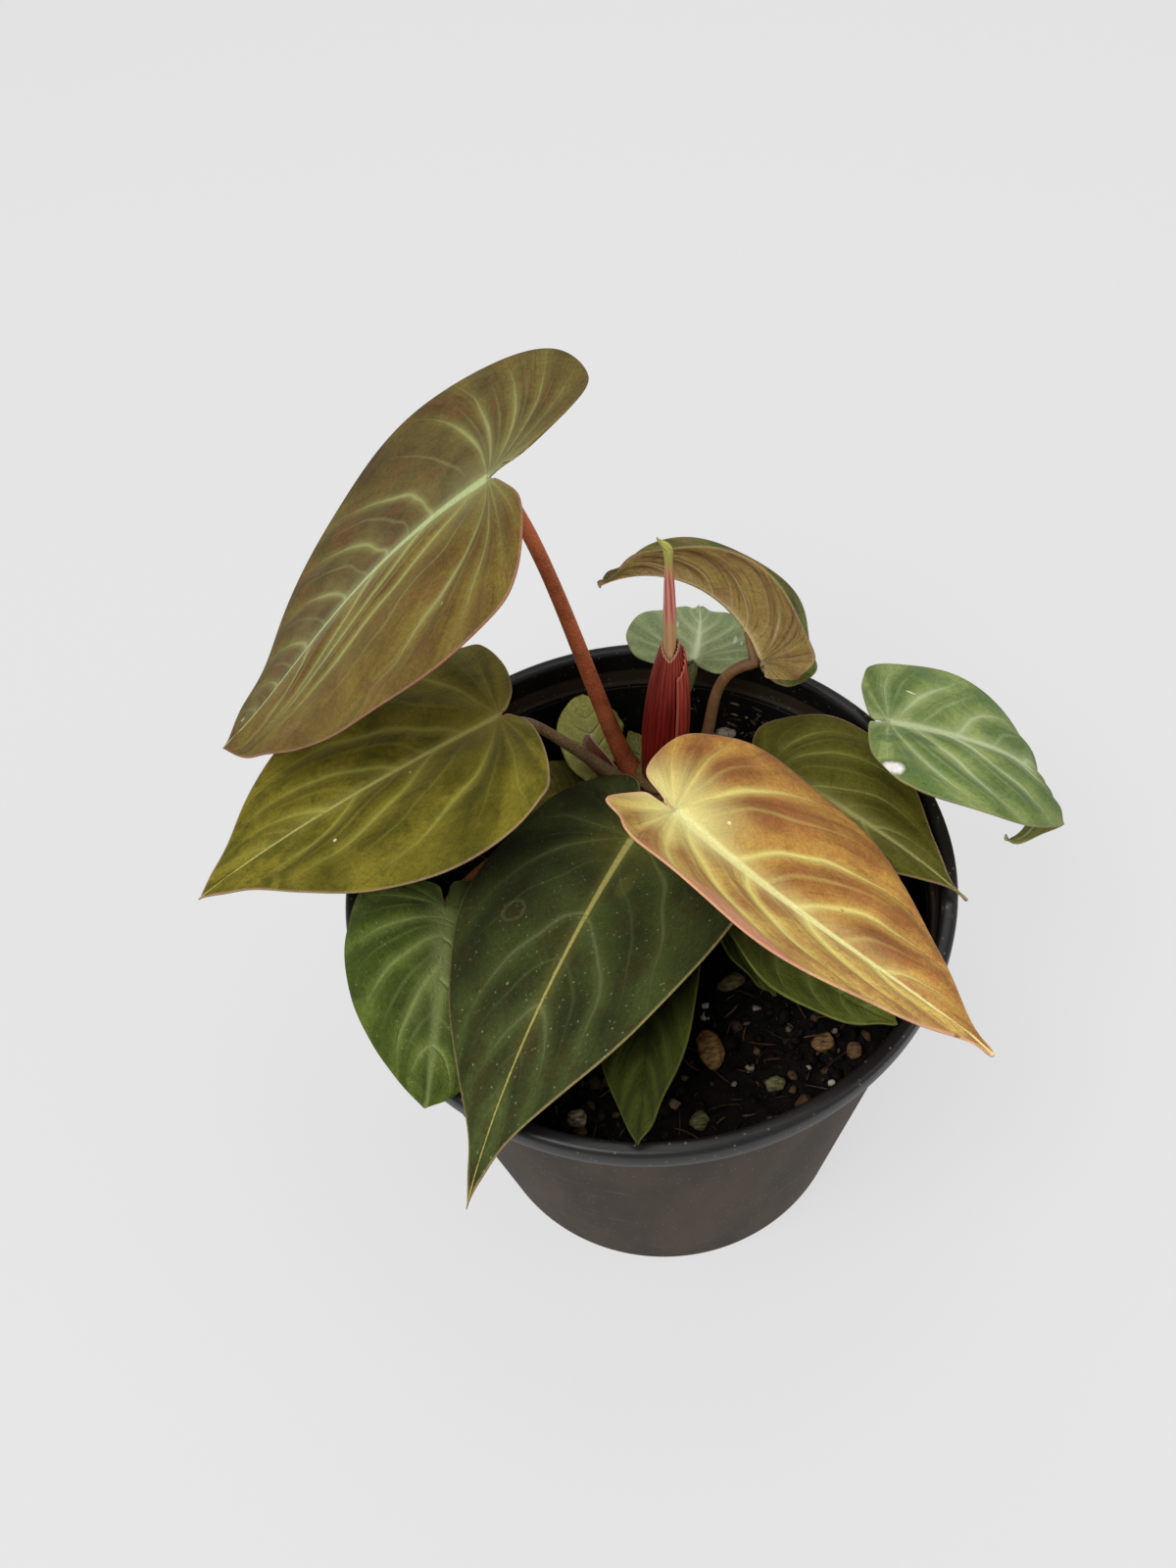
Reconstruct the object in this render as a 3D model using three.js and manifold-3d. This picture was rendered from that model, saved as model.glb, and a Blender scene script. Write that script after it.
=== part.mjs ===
// A potted philodendron: a tuft of heart-shaped leaves on one short stem, in a round nursery pot.
// Millimetres, +Z up. The origin is the centre of the pot's underside, and X runs to the viewer's right.
import * as THREE from 'three';
import { mergeVertices } from 'three/addons/utils/BufferGeometryUtils.js';
import Module from 'manifold-3d';

const wasm = await Module();
wasm.setup();

// Driving dimensions of the pot
const POT = {
  rimRadius: 75, height: 120, baseRadius: 52.5, wall: 2, floor: 2.6, segments: 48,
  lipHeight: 6.5, lipWidth: 4, lipRound: 1.4, lipDraft: 0.4, bodyTopRadius: 71.4,
  ledgeDrop: 11, ledgeWidth: 2, ledgeStep: 0.5, footRound: 1.2,
  drainHoles: 8, drainRadius: 3.5, drainCircle: 42,
};

const LEDGE_INNER = POT.rimRadius - POT.lipWidth - POT.lipDraft - POT.ledgeWidth;

// Driving dimensions of the soil, whose surface lies below the rim
const SOIL = { drop: 26, gap: 0.4, rings: 11, lump: 0.9, calmRadius: 66, stemHole: 11.8, stemCalm: 18 };
const SOIL_LEVEL = POT.height - SOIL.drop;

// The short stem that carries every petiole: a cone that stands in a hole in the soil
const STEM = { x: 7, y: 39, rootDepth: 9, footRadius: 11, topRadius: 6, shoulder: 13, segments: 28 };
const STEM_TOP = SOIL_LEVEL + STEM.shoulder;

// Clear space between two pieces that touch on the real plant
const GAP = 0.4;

// Leaf blades: thickness, the ridge of the midrib underneath, the grid of each half, and the width of its
// column next to the midrib, at most the given share of the rib line. A rib line that would leave the midrib
// nearer to the joint than fan starts at the joint.
const BLADE = {
  thickness: 0.8, ridge: 1.1,
  large: [14, 5], small: [10, 3], columnWidth: 1.6, columnShare: 0.3, fan: 1.5,
};

// Colours of the pieces
const COLOUR = {
  pot: 0x2b2826, soil: 0x17120e, stem: 0x6a5238, bark: 0x8a6a45, perlite: 0xb9b09a,
  tall: 0x69603c, left: 0x77702c, rim: 0x4c6430, front: 0x2e3820, amber: 0xb98442,
  oliveRight: 0x555524, right: 0x6f9058, back: 0x6e8760, curled: 0x7d6a41,
  pale: 0x93995a, shaded: 0x28301c, small: 0x3f5620, darkSmall: 0x333d20,
  redPetiole: 0x9c4a2c, olivePetiole: 0x6a6042, brownPetiole: 0x8c5c24, greenPetiole: 0x66703a,
  cataphyll: 0x7a1d17, spike: 0xbd6560, stub: 0x8a5145,
};

// One entry for each leaf. joint is where the petiole meets the blade. heading, dip and lean turn the
// blade there, in degrees: the way its midrib points, how far it points down, and its roll. length is
// the midrib's, and the pairs are for the left and the right half, seen from the joint. fold lifts a half
// at the midrib and curl bends it on towards its margin. arch, tipDroop and sway bend the midrib, and
// tipPower keeps tipDroop near the tip.
// base is the direction and height at which the petiole leaves the stem, and steep how much it rises there.
// It comes up to the joint over reach, at entry degrees to the blade's upward direction, or else from via.
const LEAVES = [
  { name: 'leaf_tall', colour: 'tall', stalk: 'redPetiole', grid: 'large',
    joint: [-26.5, 51, 207], heading: -179, dip: 32, lean: 20.5, length: 99.5,
    half: [47, 47], lobe: [10.5, 24], widest: 0.15, taper: 0.65, sinus: 1,
    fold: [-10, -1.5], curl: [-12, 30], arch: 31, tipDroop: -22.5, sway: 10.5, twist: -3,
    base: [144, 8], steep: 1.1, rise: 17, reach: 14, entry: 17, stalkRadius: [2.4, 1.8] },
  { name: 'leaf_left', colour: 'left', stalk: 'olivePetiole', grid: 'large',
    joint: [-32, 36, 142], heading: -162.5, dip: 10.5, lean: 19, length: 87,
    half: [43, 41.5], lobe: [6.5, 7], widest: 0.12, taper: 1.1, sinus: 0.65,
    fold: [12, 1], curl: [-21, -4.5], arch: 5, tipDroop: 7, sway: 5, twist: -30,
    base: [181, 8.6], steep: 1, rise: 50, reach: 8, entry: 52, stalkRadius: [1.9, 1.4] },
  { name: 'leaf_rim', colour: 'rim', stalk: 'brownPetiole', grid: 'large',
    joint: [-50.5, -3, 118.2], heading: -92.5, dip: -16.5, lean: -17.5, length: 57.5,
    half: [25, 23.2], lobe: [15, 9], widest: 0.2, taper: 0.65, sinus: 0.25,
    fold: [-11, 10], curl: [-32, -32], arch: 19.5, tipDroop: 0, sway: -0.5, twist: 4.5,
    base: [196, 3.4], steep: 0.5, rise: 24, reach: 34, entry: 55, stalkRadius: [1.6, 1.2] },
  { name: 'leaf_front', colour: 'front', stalk: 'greenPetiole', grid: 'large',
    joint: [-3, 5.5, 126.5], heading: -119.5, dip: -14, lean: 7.5, length: 101.5,
    half: [38, 38.5], lobe: [14, 29.5], widest: 0.1, taper: 1.35, sinus: 0.85,
    fold: [3, -7], curl: [15.5, -16.5], arch: 26, tipDroop: 21.5, sway: -0.5, twist: -1.5,
    base: [243, 9.5], steep: 1.1, rise: 14, reach: 12, entry: 40, stalkRadius: [2, 1.6] },
  { name: 'leaf_amber', colour: 'amber', stalk: 'redPetiole', grid: 'large',
    joint: [7, -3, 148], heading: -50, dip: 12, lean: -26, length: 89.5,
    half: [41.5, 41.5], lobe: [15.5, 9], widest: 0.15, taper: 1.15, sinus: 0.3,
    fold: [1, 9.5], curl: [0, 32.5], arch: -17, tipDroop: 18.5, sway: 2, twist: 3,
    base: [283, 9.5], steep: 1.1, rise: 26, reach: 14, entry: 30, stalkRadius: [2.1, 1.7] },
  { name: 'leaf_olive', colour: 'oliveRight', stalk: 'olivePetiole', grid: 'large',
    joint: [34.5, 24.5, 121.7], heading: -48.5, dip: -14, lean: -6.5, length: 60.5,
    half: [25.5, 25.5], lobe: [14, 13], widest: 0.14, taper: 1.5, sinus: 0.8,
    fold: [5.5, 6.5], curl: [-5.5, -32], arch: 24.5, tipDroop: 8, sway: 3.5, twist: -2,
    base: [318, 9], steep: 0.8, rise: 10, reach: 8, entry: 45, stalkRadius: [1.7, 1.4] },
  { name: 'leaf_right', colour: 'right', stalk: 'greenPetiole', grid: 'large',
    joint: [64.8, 29.3, 130], heading: -9.5, dip: 13, lean: -25, length: 77.3,
    half: [31.8, 34.5], lobe: [5.2, 6.8], widest: 0.12, taper: 1.35, sinus: 0.25,
    fold: [-2.5, 6.5], curl: [9.5, -12], arch: 39.5, tipDroop: 205, tipPower: 5, sway: 31, twist: 28.5,
    base: [350.7, 8.1], steep: 0.4, rise: 20, via: [69.3, 35.2, 111.5], entry: 0, stalkRadius: [1.6, 1.2] },
  { name: 'leaf_back', colour: 'back', stalk: 'greenPetiole', grid: 'large',
    joint: [19, 58, 129], heading: 74.5, dip: 22.5, lean: -1.5, length: 39.5,
    half: [19, 17], lobe: [8.5, 9], widest: 0.14, taper: 1.1, sinus: 1,
    fold: [15.5, 19], curl: [-1.5, -15], arch: 8, tipDroop: 0, sway: 11, twist: 8,
    base: [74, 9.5], steep: 1, rise: 14, reach: 8, entry: 35, stalkRadius: [1.6, 1.2] },
  { name: 'leaf_curled', colour: 'curled', stalk: 'olivePetiole', grid: 'large',
    joint: [34.5, 43, 143.5], heading: 105.5, dip: -43, lean: 82, length: 51,
    half: [22.5, 23], lobe: [5.5, 7.5], widest: 0.13, taper: 1, sinus: 0.25,
    fold: [31, 52.5], curl: [-14, -9], arch: 93.5, tipDroop: 7, sway: 5, twist: 15.5,
    base: [16, 9], steep: 0.55, rise: 16.5, reach: 15.4, entry: -7.7, stalkRadius: [1.8, 1.4] },
  { name: 'leaf_juvenile', colour: 'pale', stalk: 'greenPetiole', grid: 'small',
    joint: [-6, 50.5, 100], heading: 138, dip: -41, lean: 10.5, length: 20,
    half: [12, 12], lobe: [3.5, 3.5], widest: 0.21, taper: 0.6, sinus: 1,
    fold: [11, 9.5], curl: [-1.5, -39], arch: -15, tipDroop: 0, sway: -41, twist: -32.5,
    base: [132, 3.4], steep: 0.2, rise: 2, reach: 2.5, entry: 65, stalkRadius: [1, 0.8] },
  { name: 'leaf_low_back', colour: 'pale', stalk: 'greenPetiole', grid: 'small',
    joint: [17.5, 48.5, 97.5], heading: 42, dip: -8, lean: -4, length: 13,
    half: [6.5, 6.5], lobe: [3, 3], widest: 0.2, taper: 0.7, sinus: 0.8,
    fold: [12, 12], curl: [-10, -10], arch: 24, tipDroop: 10, sway: 0, twist: 0,
    base: [40, 3], steep: 0, rise: 1, reach: 1, entry: 60, stalkRadius: [0.7, 0.5] },
  { name: 'leaf_tiny_back', colour: 'pale', stalk: 'greenPetiole', grid: 'small',
    joint: [3.5, 51.3, 98], heading: 110, dip: -38, lean: 0, length: 9,
    half: [3.4, 3.4], lobe: [1.5, 1.5], widest: 0.25, taper: 0.8, sinus: 1,
    fold: [18, 18], curl: [-10, -10], arch: 30, tipDroop: 0, sway: 0, twist: 0,
    base: [104, 2.6], steep: 0, rise: 1, reach: 1, entry: 65, stalkRadius: [0.6, 0.5] },
  { name: 'leaf_shaded', colour: 'shaded', stalk: 'greenPetiole', grid: 'small',
    joint: [-13, 37.5, 98], heading: 146, dip: -16, lean: -1, length: 23,
    half: [11.5, 11.5], lobe: [3.5, 2.5], widest: 0.17, taper: 0.8, sinus: 1,
    fold: [12, 12], curl: [-17, -26], arch: 34, tipDroop: 16, sway: 4.5, twist: -6.5,
    base: [214, 2.4], steep: 0, rise: 2, reach: 2, entry: 60, stalkRadius: [1, 0.8] },
  { name: 'leaf_small_front', colour: 'small', stalk: 'greenPetiole', grid: 'small',
    joint: [-3.5, -17, 117.5], heading: -90.5, dip: -11, lean: 8.5, length: 57,
    half: [15, 14.5], lobe: [12.5, 12.5], widest: 0.14, taper: 0.7, sinus: 1,
    fold: [21, 14.5], curl: [-2, -19], arch: 5, tipDroop: 8, sway: -14.5, twist: 3.5,
    base: [262, 3], steep: 0.5, rise: 16, reach: 12, entry: 55, stalkRadius: [1.4, 1.1] },
  { name: 'leaf_small_dark', colour: 'darkSmall', stalk: 'greenPetiole', grid: 'small',
    joint: [12.7, -5.5, 115], heading: -58, dip: 29, lean: -24.5, length: 31,
    half: [8, 11], lobe: [7, 7], widest: 0.16, taper: 0.9, sinus: 1,
    fold: [9, 21.5], curl: [-20, 25.5], arch: 4.5, tipDroop: 0, sway: 8, twist: 7,
    base: [298, 3], steep: 0.6, rise: 12, reach: 8, entry: 40, stalkRadius: [1.2, 1] },
  { name: 'leaf_small_right', colour: 'small', stalk: 'greenPetiole', grid: 'small',
    joint: [26, -11, 111], heading: -67.5, dip: -1, lean: -16, length: 48.5,
    half: [20.5, 21], lobe: [10.5, 10.5], widest: 0.16, taper: 0.85, sinus: 1,
    fold: [14.5, 20.5], curl: [-20, 30], arch: -28.5, tipDroop: 0, sway: 13.5, twist: 24,
    base: [338, 3], steep: 0.4, rise: 14, reach: 10, entry: 0, stalkRadius: [1.2, 1] },
];

// Length of one step along a petiole
const PETIOLE_STEP = 5;

// Half a heart-shaped leaf, from the sinus round the basal lobe to the tip. Behind the joint the first
// number is a share of the lobe, ahead of it a share of the length, and the second of the half width.
const HALF_LEAF = [
  [0, 0], [-0.45, 0.12], [-0.85, 0.27], [-1, 0.5], [-0.72, 0.78], [-0.12, 0.95], [0.16, 1],
  [0.36, 0.94], [0.56, 0.74], [0.74, 0.45], [0.86, 0.215], [0.94, 0.085], [1, 0],
];
const WIDEST_INDEX = 6;
// Share of the outline that bounds the sinus, which is one straight edge from the joint
const SINUS_SHARE = 1 / 6;
const VEIN_START = 0.1;
const VEIN_POWER = 1.5;
const VEIN_BOW = 0.1;
const TIP_POWER = 4;

const radians = THREE.MathUtils.degToRad;

// A smooth curve through flat points, at t from 0 to 1
function throughPoints(points, t) {
  const last = points.length - 1;
  const place = Math.min(Math.max(t, 0), 1) * last;
  const i = Math.min(Math.floor(place), last - 1);
  const r = place - i;
  const b = points[i];
  const c = points[i + 1];
  const a = i > 0 ? points[i - 1] : [2 * b[0] - c[0], 2 * b[1] - c[1]];
  const d = i < last - 1 ? points[i + 2] : [2 * c[0] - b[0], 2 * c[1] - b[1]];
  return [0, 1].map((k) => 0.5 * (2 * b[k] + (c[k] - a[k]) * r
    + (2 * a[k] - 5 * b[k] + 4 * c[k] - d[k]) * r * r
    + (3 * b[k] - a[k] - 3 * c[k] + d[k]) * r * r * r));
}

// The control points of one half of a leaf, laid flat, in millimetres
function halfOutline(leaf, side) {
  const lobe = leaf.lobe[side];
  const stretch = (1 - leaf.widest) / (1 - HALF_LEAF[WIDEST_INDEX][0]);
  return HALF_LEAF.map(([along, across], i) => {
    let x = along * lobe;
    if (along > 0) x = (leaf.widest + (along - HALF_LEAF[WIDEST_INDEX][0]) * stretch) * leaf.length;
    let y = i > WIDEST_INDEX ? across ** leaf.taper : across;
    if (i === 1) y *= leaf.sinus;
    if (i === 2) y *= leaf.sinus ** 0.6;
    return [x, y * leaf.half[side]];
  });
}

// The midrib laid out in space: points and directions at even steps before and after the joint
function midribPath(leaf) {
  const back = -1.1 * Math.max(...leaf.lobe, 1);
  const steps = 60;
  const stations = [];
  for (let i = 0; i < steps / 3; i += 1) stations.push(back * (1 - (3 * i) / steps));
  for (let i = 0; i <= steps; i += 1) stations.push((leaf.length * i) / steps);
  const turns = stations.map((s) => {
    const f = s / leaf.length;
    const tipDroop = f > 0 ? leaf.tipDroop * f ** (leaf.tipPower ?? TIP_POWER) : 0;
    const droop = radians(leaf.arch * f + tipDroop);
    const sway = radians(leaf.sway * f);
    const level = Math.cos(droop);
    return { sway, way: [level * Math.cos(sway), level * Math.sin(sway), -Math.sin(droop)] };
  });
  const places = [[0, 0, 0]];
  for (let i = 1; i < stations.length; i += 1) {
    const halfStep = (stations[i] - stations[i - 1]) / 2;
    places.push(places[i - 1].map((value, k) => value + (turns[i].way[k] + turns[i - 1].way[k]) * halfStep));
  }
  const zero = places[steps / 3];
  return { stations, turns, places: places.map((p) => p.map((value, k) => value - zero[k])) };
}

// The turn of the whole blade at its joint
function bladeFrame(leaf) {
  return new THREE.Matrix4()
    .makeRotationZ(radians(leaf.heading))
    .multiply(new THREE.Matrix4().makeRotationY(radians(leaf.dip)))
    .multiply(new THREE.Matrix4().makeRotationX(radians(leaf.lean)))
    .setPosition(...leaf.joint);
}

// Bends a flat point of the blade into place. y is measured from the midrib on the given side.
function bendPoint(leaf, path, frame, x, y, side) {
  const { stations, turns, places } = path;
  let i = stations.findIndex((s) => s > x);
  if (i < 0) i = stations.length - 1;
  i = Math.max(i, 1);
  const r = (x - stations[i - 1]) / (stations[i] - stations[i - 1]);
  const mix = (a, b) => a + (b - a) * r;
  const mixed = (a, b) => new THREE.Vector3(...a.map((value, k) => mix(value, b[k])));
  const centre = mixed(places[i - 1], places[i]);
  const way = mixed(turns[i - 1].way, turns[i].way).normalize();
  const sway = mix(turns[i - 1].sway, turns[i].sway);
  const across = new THREE.Vector3(-Math.sin(sway), Math.cos(sway), 0);
  const up = new THREE.Vector3().crossVectors(way, across);
  const twist = radians(leaf.twist * Math.min(Math.max(x / leaf.length, 0), 1));
  const turnedAcross = across.clone().multiplyScalar(Math.cos(twist)).addScaledVector(up, Math.sin(twist));
  const turnedUp = up.clone().multiplyScalar(Math.cos(twist)).addScaledVector(across, -Math.sin(twist));
  const start = radians(leaf.fold[side]);
  let bend = radians(leaf.curl[side]) / leaf.half[side];
  if (Math.abs(bend) < 1e-5) bend = 1e-5;
  const end = start + bend * y;
  const sideways = ((Math.sin(end) - Math.sin(start)) / bend) * (side === 0 ? 1 : -1);
  const lift = (Math.cos(start) - Math.cos(end)) / bend;
  return centre.addScaledVector(turnedAcross, sideways).addScaledVector(turnedUp, lift).applyMatrix4(frame);
}

// A closed mesh from loose triangles of points: equal points are merged and empty triangles dropped
function closedGeometry(triangles) {
  const keys = new Map();
  const places = [];
  const index = [];
  const find = (p) => {
    const key = [p.x, p.y, p.z].map((value) => Math.round(value * 2000)).join(' ');
    if (!keys.has(key)) {
      keys.set(key, places.length / 3);
      places.push(p.x, p.y, p.z);
    }
    return keys.get(key);
  };
  for (const triangle of triangles) {
    const [a, b, c] = triangle.map(find);
    if (a !== b && b !== c && a !== c) index.push(a, b, c);
  }
  const geometry = new THREE.BufferGeometry();
  geometry.setAttribute('position', new THREE.BufferAttribute(new Float32Array(places), 3));
  geometry.setIndex(index);
  geometry.computeVertexNormals();
  return geometry;
}

// A leaf blade: its middle surface on a grid of rib lines that fan from the joint and then leave the
// midrib one by one, given its thickness along the surface's normals, with the midrib's ridge below
function bladeGeometry(leaf) {
  const [along, across] = BLADE[leaf.grid];
  const path = midribPath(leaf);
  const frame = bladeFrame(leaf);
  const outlines = [0, 1].map((side) => halfOutline(leaf, side));
  const points = [];
  const ids = new Map();
  const point = (side, i, j) => {
    const t = SINUS_SHARE + ((1 - SINUS_SHARE) * i) / along;
    const [px, py] = throughPoints(outlines[side], t);
    const ahead = throughPoints(outlines[0], t)[0] / leaf.length;
    const reach = Math.max(0, (ahead - VEIN_START) / (1 - VEIN_START));
    const start = leaf.length * reach ** VEIN_POWER;
    const mx = start < BLADE.fan ? 0 : start;
    const rib = Math.max(Math.hypot(px - mx, py), BLADE.columnWidth);
    const first = Math.min(BLADE.columnWidth / rib, BLADE.columnShare);
    const v = j === 0 ? 0 : first + (1 - first) * ((j - 1) / (across - 1));
    const bow = VEIN_BOW * Math.min(1, reach * 6);
    const cx = (mx + px) / 2 - bow * py;
    const cy = py / 2 + bow * (px - mx);
    const x = (1 - v) ** 2 * mx + 2 * v * (1 - v) * cx + v * v * px;
    const y = 2 * v * (1 - v) * cy + v * v * py;
    let key = `${side} ${i} ${j}`;
    if (j === 0) key = mx === 0 ? 'joint' : `rib ${i}`;
    if (i === along) key = 'tip';
    if (!ids.has(key)) {
      ids.set(key, points.length);
      const place = bendPoint(leaf, path, frame, x, y, side);
      const ridge = j === 0 ? BLADE.ridge * (1 - x / leaf.length) : 0;
      points.push({ place, ridge, normal: new THREE.Vector3() });
    }
    return ids.get(key);
  };
  const faces = [];
  const rimRuns = [[], []];
  for (const side of [0, 1]) {
    for (let i = 0; i < along; i += 1) {
      for (let j = 0; j < across; j += 1) {
        const a = point(side, i, j);
        const b = point(side, i + 1, j);
        const c = point(side, i + 1, j + 1);
        const d = point(side, i, j + 1);
        const quad = side === 0 ? [[a, b, c], [a, c, d]] : [[a, c, b], [a, d, c]];
        faces.push(...quad.filter(([p, q, r]) => p !== q && q !== r && p !== r));
      }
    }
    for (let j = 0; j < across; j += 1) rimRuns[side].push(point(side, 0, j));
    for (let i = 0; i <= along; i += 1) rimRuns[side].push(point(side, i, across));
  }
  const edge1 = new THREE.Vector3();
  const edge2 = new THREE.Vector3();
  for (const [a, b, c] of faces) {
    edge1.subVectors(points[b].place, points[a].place);
    edge2.subVectors(points[c].place, points[a].place);
    const normal = edge1.clone().cross(edge2);
    for (const k of [a, b, c]) points[k].normal.add(normal);
  }
  const half = BLADE.thickness / 2;
  const top = points.map((p) => p.place.clone().addScaledVector(p.normal.normalize(), half));
  const under = points.map((p) => p.place.clone().addScaledVector(p.normal, -half - p.ridge));
  const triangles = [];
  for (const [a, b, c] of faces) triangles.push([top[a], top[b], top[c]], [under[c], under[b], under[a]]);
  rimRuns.forEach((run, side) => {
    for (let i = 0; i + 1 < run.length; i += 1) {
      const [a, b] = side === 0 ? [run[i], run[i + 1]] : [run[i + 1], run[i]];
      triangles.push([top[b], under[b], under[a]], [top[b], under[a], top[a]]);
    }
  });
  return closedGeometry(triangles);
}

// A tapered stalk along a curve. Its two end faces lie in the planes with the given normals.
function stalkGeometry(curve, radii, sides, steps, startNormal, endNormal) {
  const rings = [];
  const frames = curve.computeFrenetFrames(steps, false);
  for (let i = 0; i <= steps; i += 1) {
    const t = i / steps;
    const centre = curve.getPointAt(t);
    const way = frames.tangents[i];
    const radius = radii[0] + (radii[1] - radii[0]) * Math.min(1, t * 1.4);
    const plane = i === 0 ? startNormal : i === steps ? endNormal : null;
    rings.push(Array.from({ length: sides }, (_, k) => {
      const angle = (2 * Math.PI * k) / sides;
      const out = frames.normals[i].clone().multiplyScalar(Math.cos(angle) * radius)
        .addScaledVector(frames.binormals[i], Math.sin(angle) * radius);
      if (plane) out.addScaledVector(way, -out.dot(plane) / way.dot(plane));
      return centre.clone().add(out);
    }));
  }
  return ringGeometry(rings);
}

// A closed solid over a stack of rings that run anticlockwise seen from the last ring
function ringGeometry(rings) {
  const triangles = [];
  const sides = rings[0].length;
  for (let i = 0; i + 1 < rings.length; i += 1) {
    for (let k = 0; k < sides; k += 1) {
      const next = (k + 1) % sides;
      triangles.push([rings[i][k], rings[i][next], rings[i + 1][next]]);
      triangles.push([rings[i][k], rings[i + 1][next], rings[i + 1][k]]);
    }
  }
  const cap = (ring, up) => {
    const middle = ring.reduce((sum, p) => sum.add(p), new THREE.Vector3()).divideScalar(sides);
    for (let k = 0; k < sides; k += 1) {
      const pair = [ring[k], ring[(k + 1) % sides]];
      triangles.push(up ? [middle, pair[0], pair[1]] : [middle, pair[1], pair[0]]);
    }
  };
  cap(rings[0], false);
  cap(rings[rings.length - 1], true);
  return closedGeometry(triangles);
}

// Where a petiole leaves the stem's cone: the direction round the stem and the height over the soil
function stemSeat([direction, height]) {
  const around = radians(direction);
  const slope = (STEM.footRadius - STEM.topRadius) / STEM.shoulder;
  const radius = STEM.footRadius - slope * height;
  const outward = new THREE.Vector3(Math.cos(around), Math.sin(around), slope).normalize();
  const place = new THREE.Vector3(STEM.x + Math.cos(around) * radius, STEM.y + Math.sin(around) * radius,
    SOIL_LEVEL + height).addScaledVector(outward, GAP);
  return { place, outward };
}

// A petiole: it leaves the stem steeply, and comes up to the joint from below and behind. Its end is cut
// along the blade on a large leaf, and square on a small one.
function petioleGeometry(leaf) {
  const seat = stemSeat(leaf.base);
  const frame = bladeFrame(leaf);
  const forward = new THREE.Vector3();
  const left = new THREE.Vector3();
  const up = new THREE.Vector3();
  frame.extractBasis(forward, left, up);
  const long = leaf.grid === 'large';
  const slant = radians(leaf.entry);
  const arrive = up.clone().multiplyScalar(Math.cos(slant)).addScaledVector(forward, Math.sin(slant));
  const rim = long ? 0 : leaf.stalkRadius[1] * Math.sin(slant);
  const gap = BLADE.thickness / 2 + BLADE.ridge + GAP + rim;
  const end = new THREE.Vector3(...leaf.joint).addScaledVector(up, -gap);
  const leave = seat.outward.clone().add(new THREE.Vector3(0, 0, leaf.steep)).normalize();
  const curve = new THREE.CubicBezierCurve3(seat.place,
    seat.place.clone().addScaledVector(leave, leaf.rise),
    leaf.via ? new THREE.Vector3(...leaf.via) : end.clone().addScaledVector(arrive, -leaf.reach), end);
  const steps = Math.min(Math.max(Math.round(curve.getLength() / PETIOLE_STEP), 3), 12);
  return stalkGeometry(curve, leaf.stalkRadius, long ? 8 : 6, steps, seat.outward, long ? up : arrive);
}

// The round pot, turned from one profile, with drain holes through its floor
function potGeometry() {
  const { rimRadius, height, baseRadius, wall, floor, lipWidth, lipRound, lipDraft, footRound } = POT;
  const lipInner = rimRadius - lipWidth;
  const lipFoot = height - POT.lipHeight;
  const ledge = height - POT.ledgeDrop;
  const profile = [
    [0, 0], [baseRadius - footRound, 0], [baseRadius, footRound], [POT.bodyTopRadius, lipFoot - lipDraft],
    [rimRadius - lipRound, lipFoot], [rimRadius, lipFoot + lipRound], [rimRadius, height - lipRound],
    [rimRadius - lipRound / 2, height - lipDraft], [rimRadius - lipWidth / 2, height],
    [lipInner + lipRound / 2, height - lipDraft], [lipInner, height - lipRound], [lipInner - lipDraft, ledge],
    [LEDGE_INNER, ledge - POT.ledgeStep], [baseRadius - wall, floor], [0, floor],
  ];
  const turned = new THREE.LatheGeometry(profile.map(([r, z]) => new THREE.Vector2(r, z)), POT.segments);
  turned.rotateX(Math.PI / 2);
  let pot = solidOf(turned);
  for (let i = 0; i < POT.drainHoles; i += 1) {
    const angle = (2 * Math.PI * i) / POT.drainHoles;
    const hole = new THREE.CylinderGeometry(POT.drainRadius, POT.drainRadius, 4 * floor, 12);
    hole.rotateX(Math.PI / 2);
    hole.translate(POT.drainCircle * Math.cos(angle), POT.drainCircle * Math.sin(angle), 0);
    pot = pot.subtract(solidOf(hole));
  }
  return geometryOf(pot);
}

// The pot's inner wall, at a height over the underside
function potInnerRadius(z) {
  const bottom = POT.baseRadius - POT.wall;
  const share = (z - POT.floor) / (POT.height - POT.ledgeDrop - POT.ledgeStep - POT.floor);
  return bottom + (LEDGE_INNER - bottom) * share;
}

// Pieces of bark, perlite and other coarse bits that lie on the soil: place, size and turn
const CHUNKS = [
  { name: 'bark_chunk', at: [10, -38.3], size: [3.2, 5, 2.6], turn: 12, colour: 'bark' },
  { name: 'bark_chip_right', at: [37.5, -39.4], size: [3, 2.2, 1.6], turn: 30, colour: 'bark' },
  { name: 'bark_chip_edge', at: [44.5, -42.5], size: [2.2, 1.8, 1.4], turn: 70, colour: 'bark' },
  { name: 'bark_chip_middle', at: [17.5, -20], size: [3.4, 2, 1.6], turn: 20, colour: 'bark' },
  { name: 'bark_chip_front', at: [24.2, -48.8], size: [2.4, 1.9, 1.4], turn: 10, colour: 'bark' },
  { name: 'bark_chip_near', at: [5, -56], size: [2.4, 2.2, 1.4], turn: 50, colour: 'bark' },
  { name: 'perlite_bit_left', at: [-24.1, -52], size: [2.3, 2.2, 1.9], turn: 0, colour: 'perlite' },
  { name: 'perlite_bit_back', at: [34.8, 50], size: [1.7, 1.7, 1.4], turn: 15, colour: 'perlite' },
];

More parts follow.
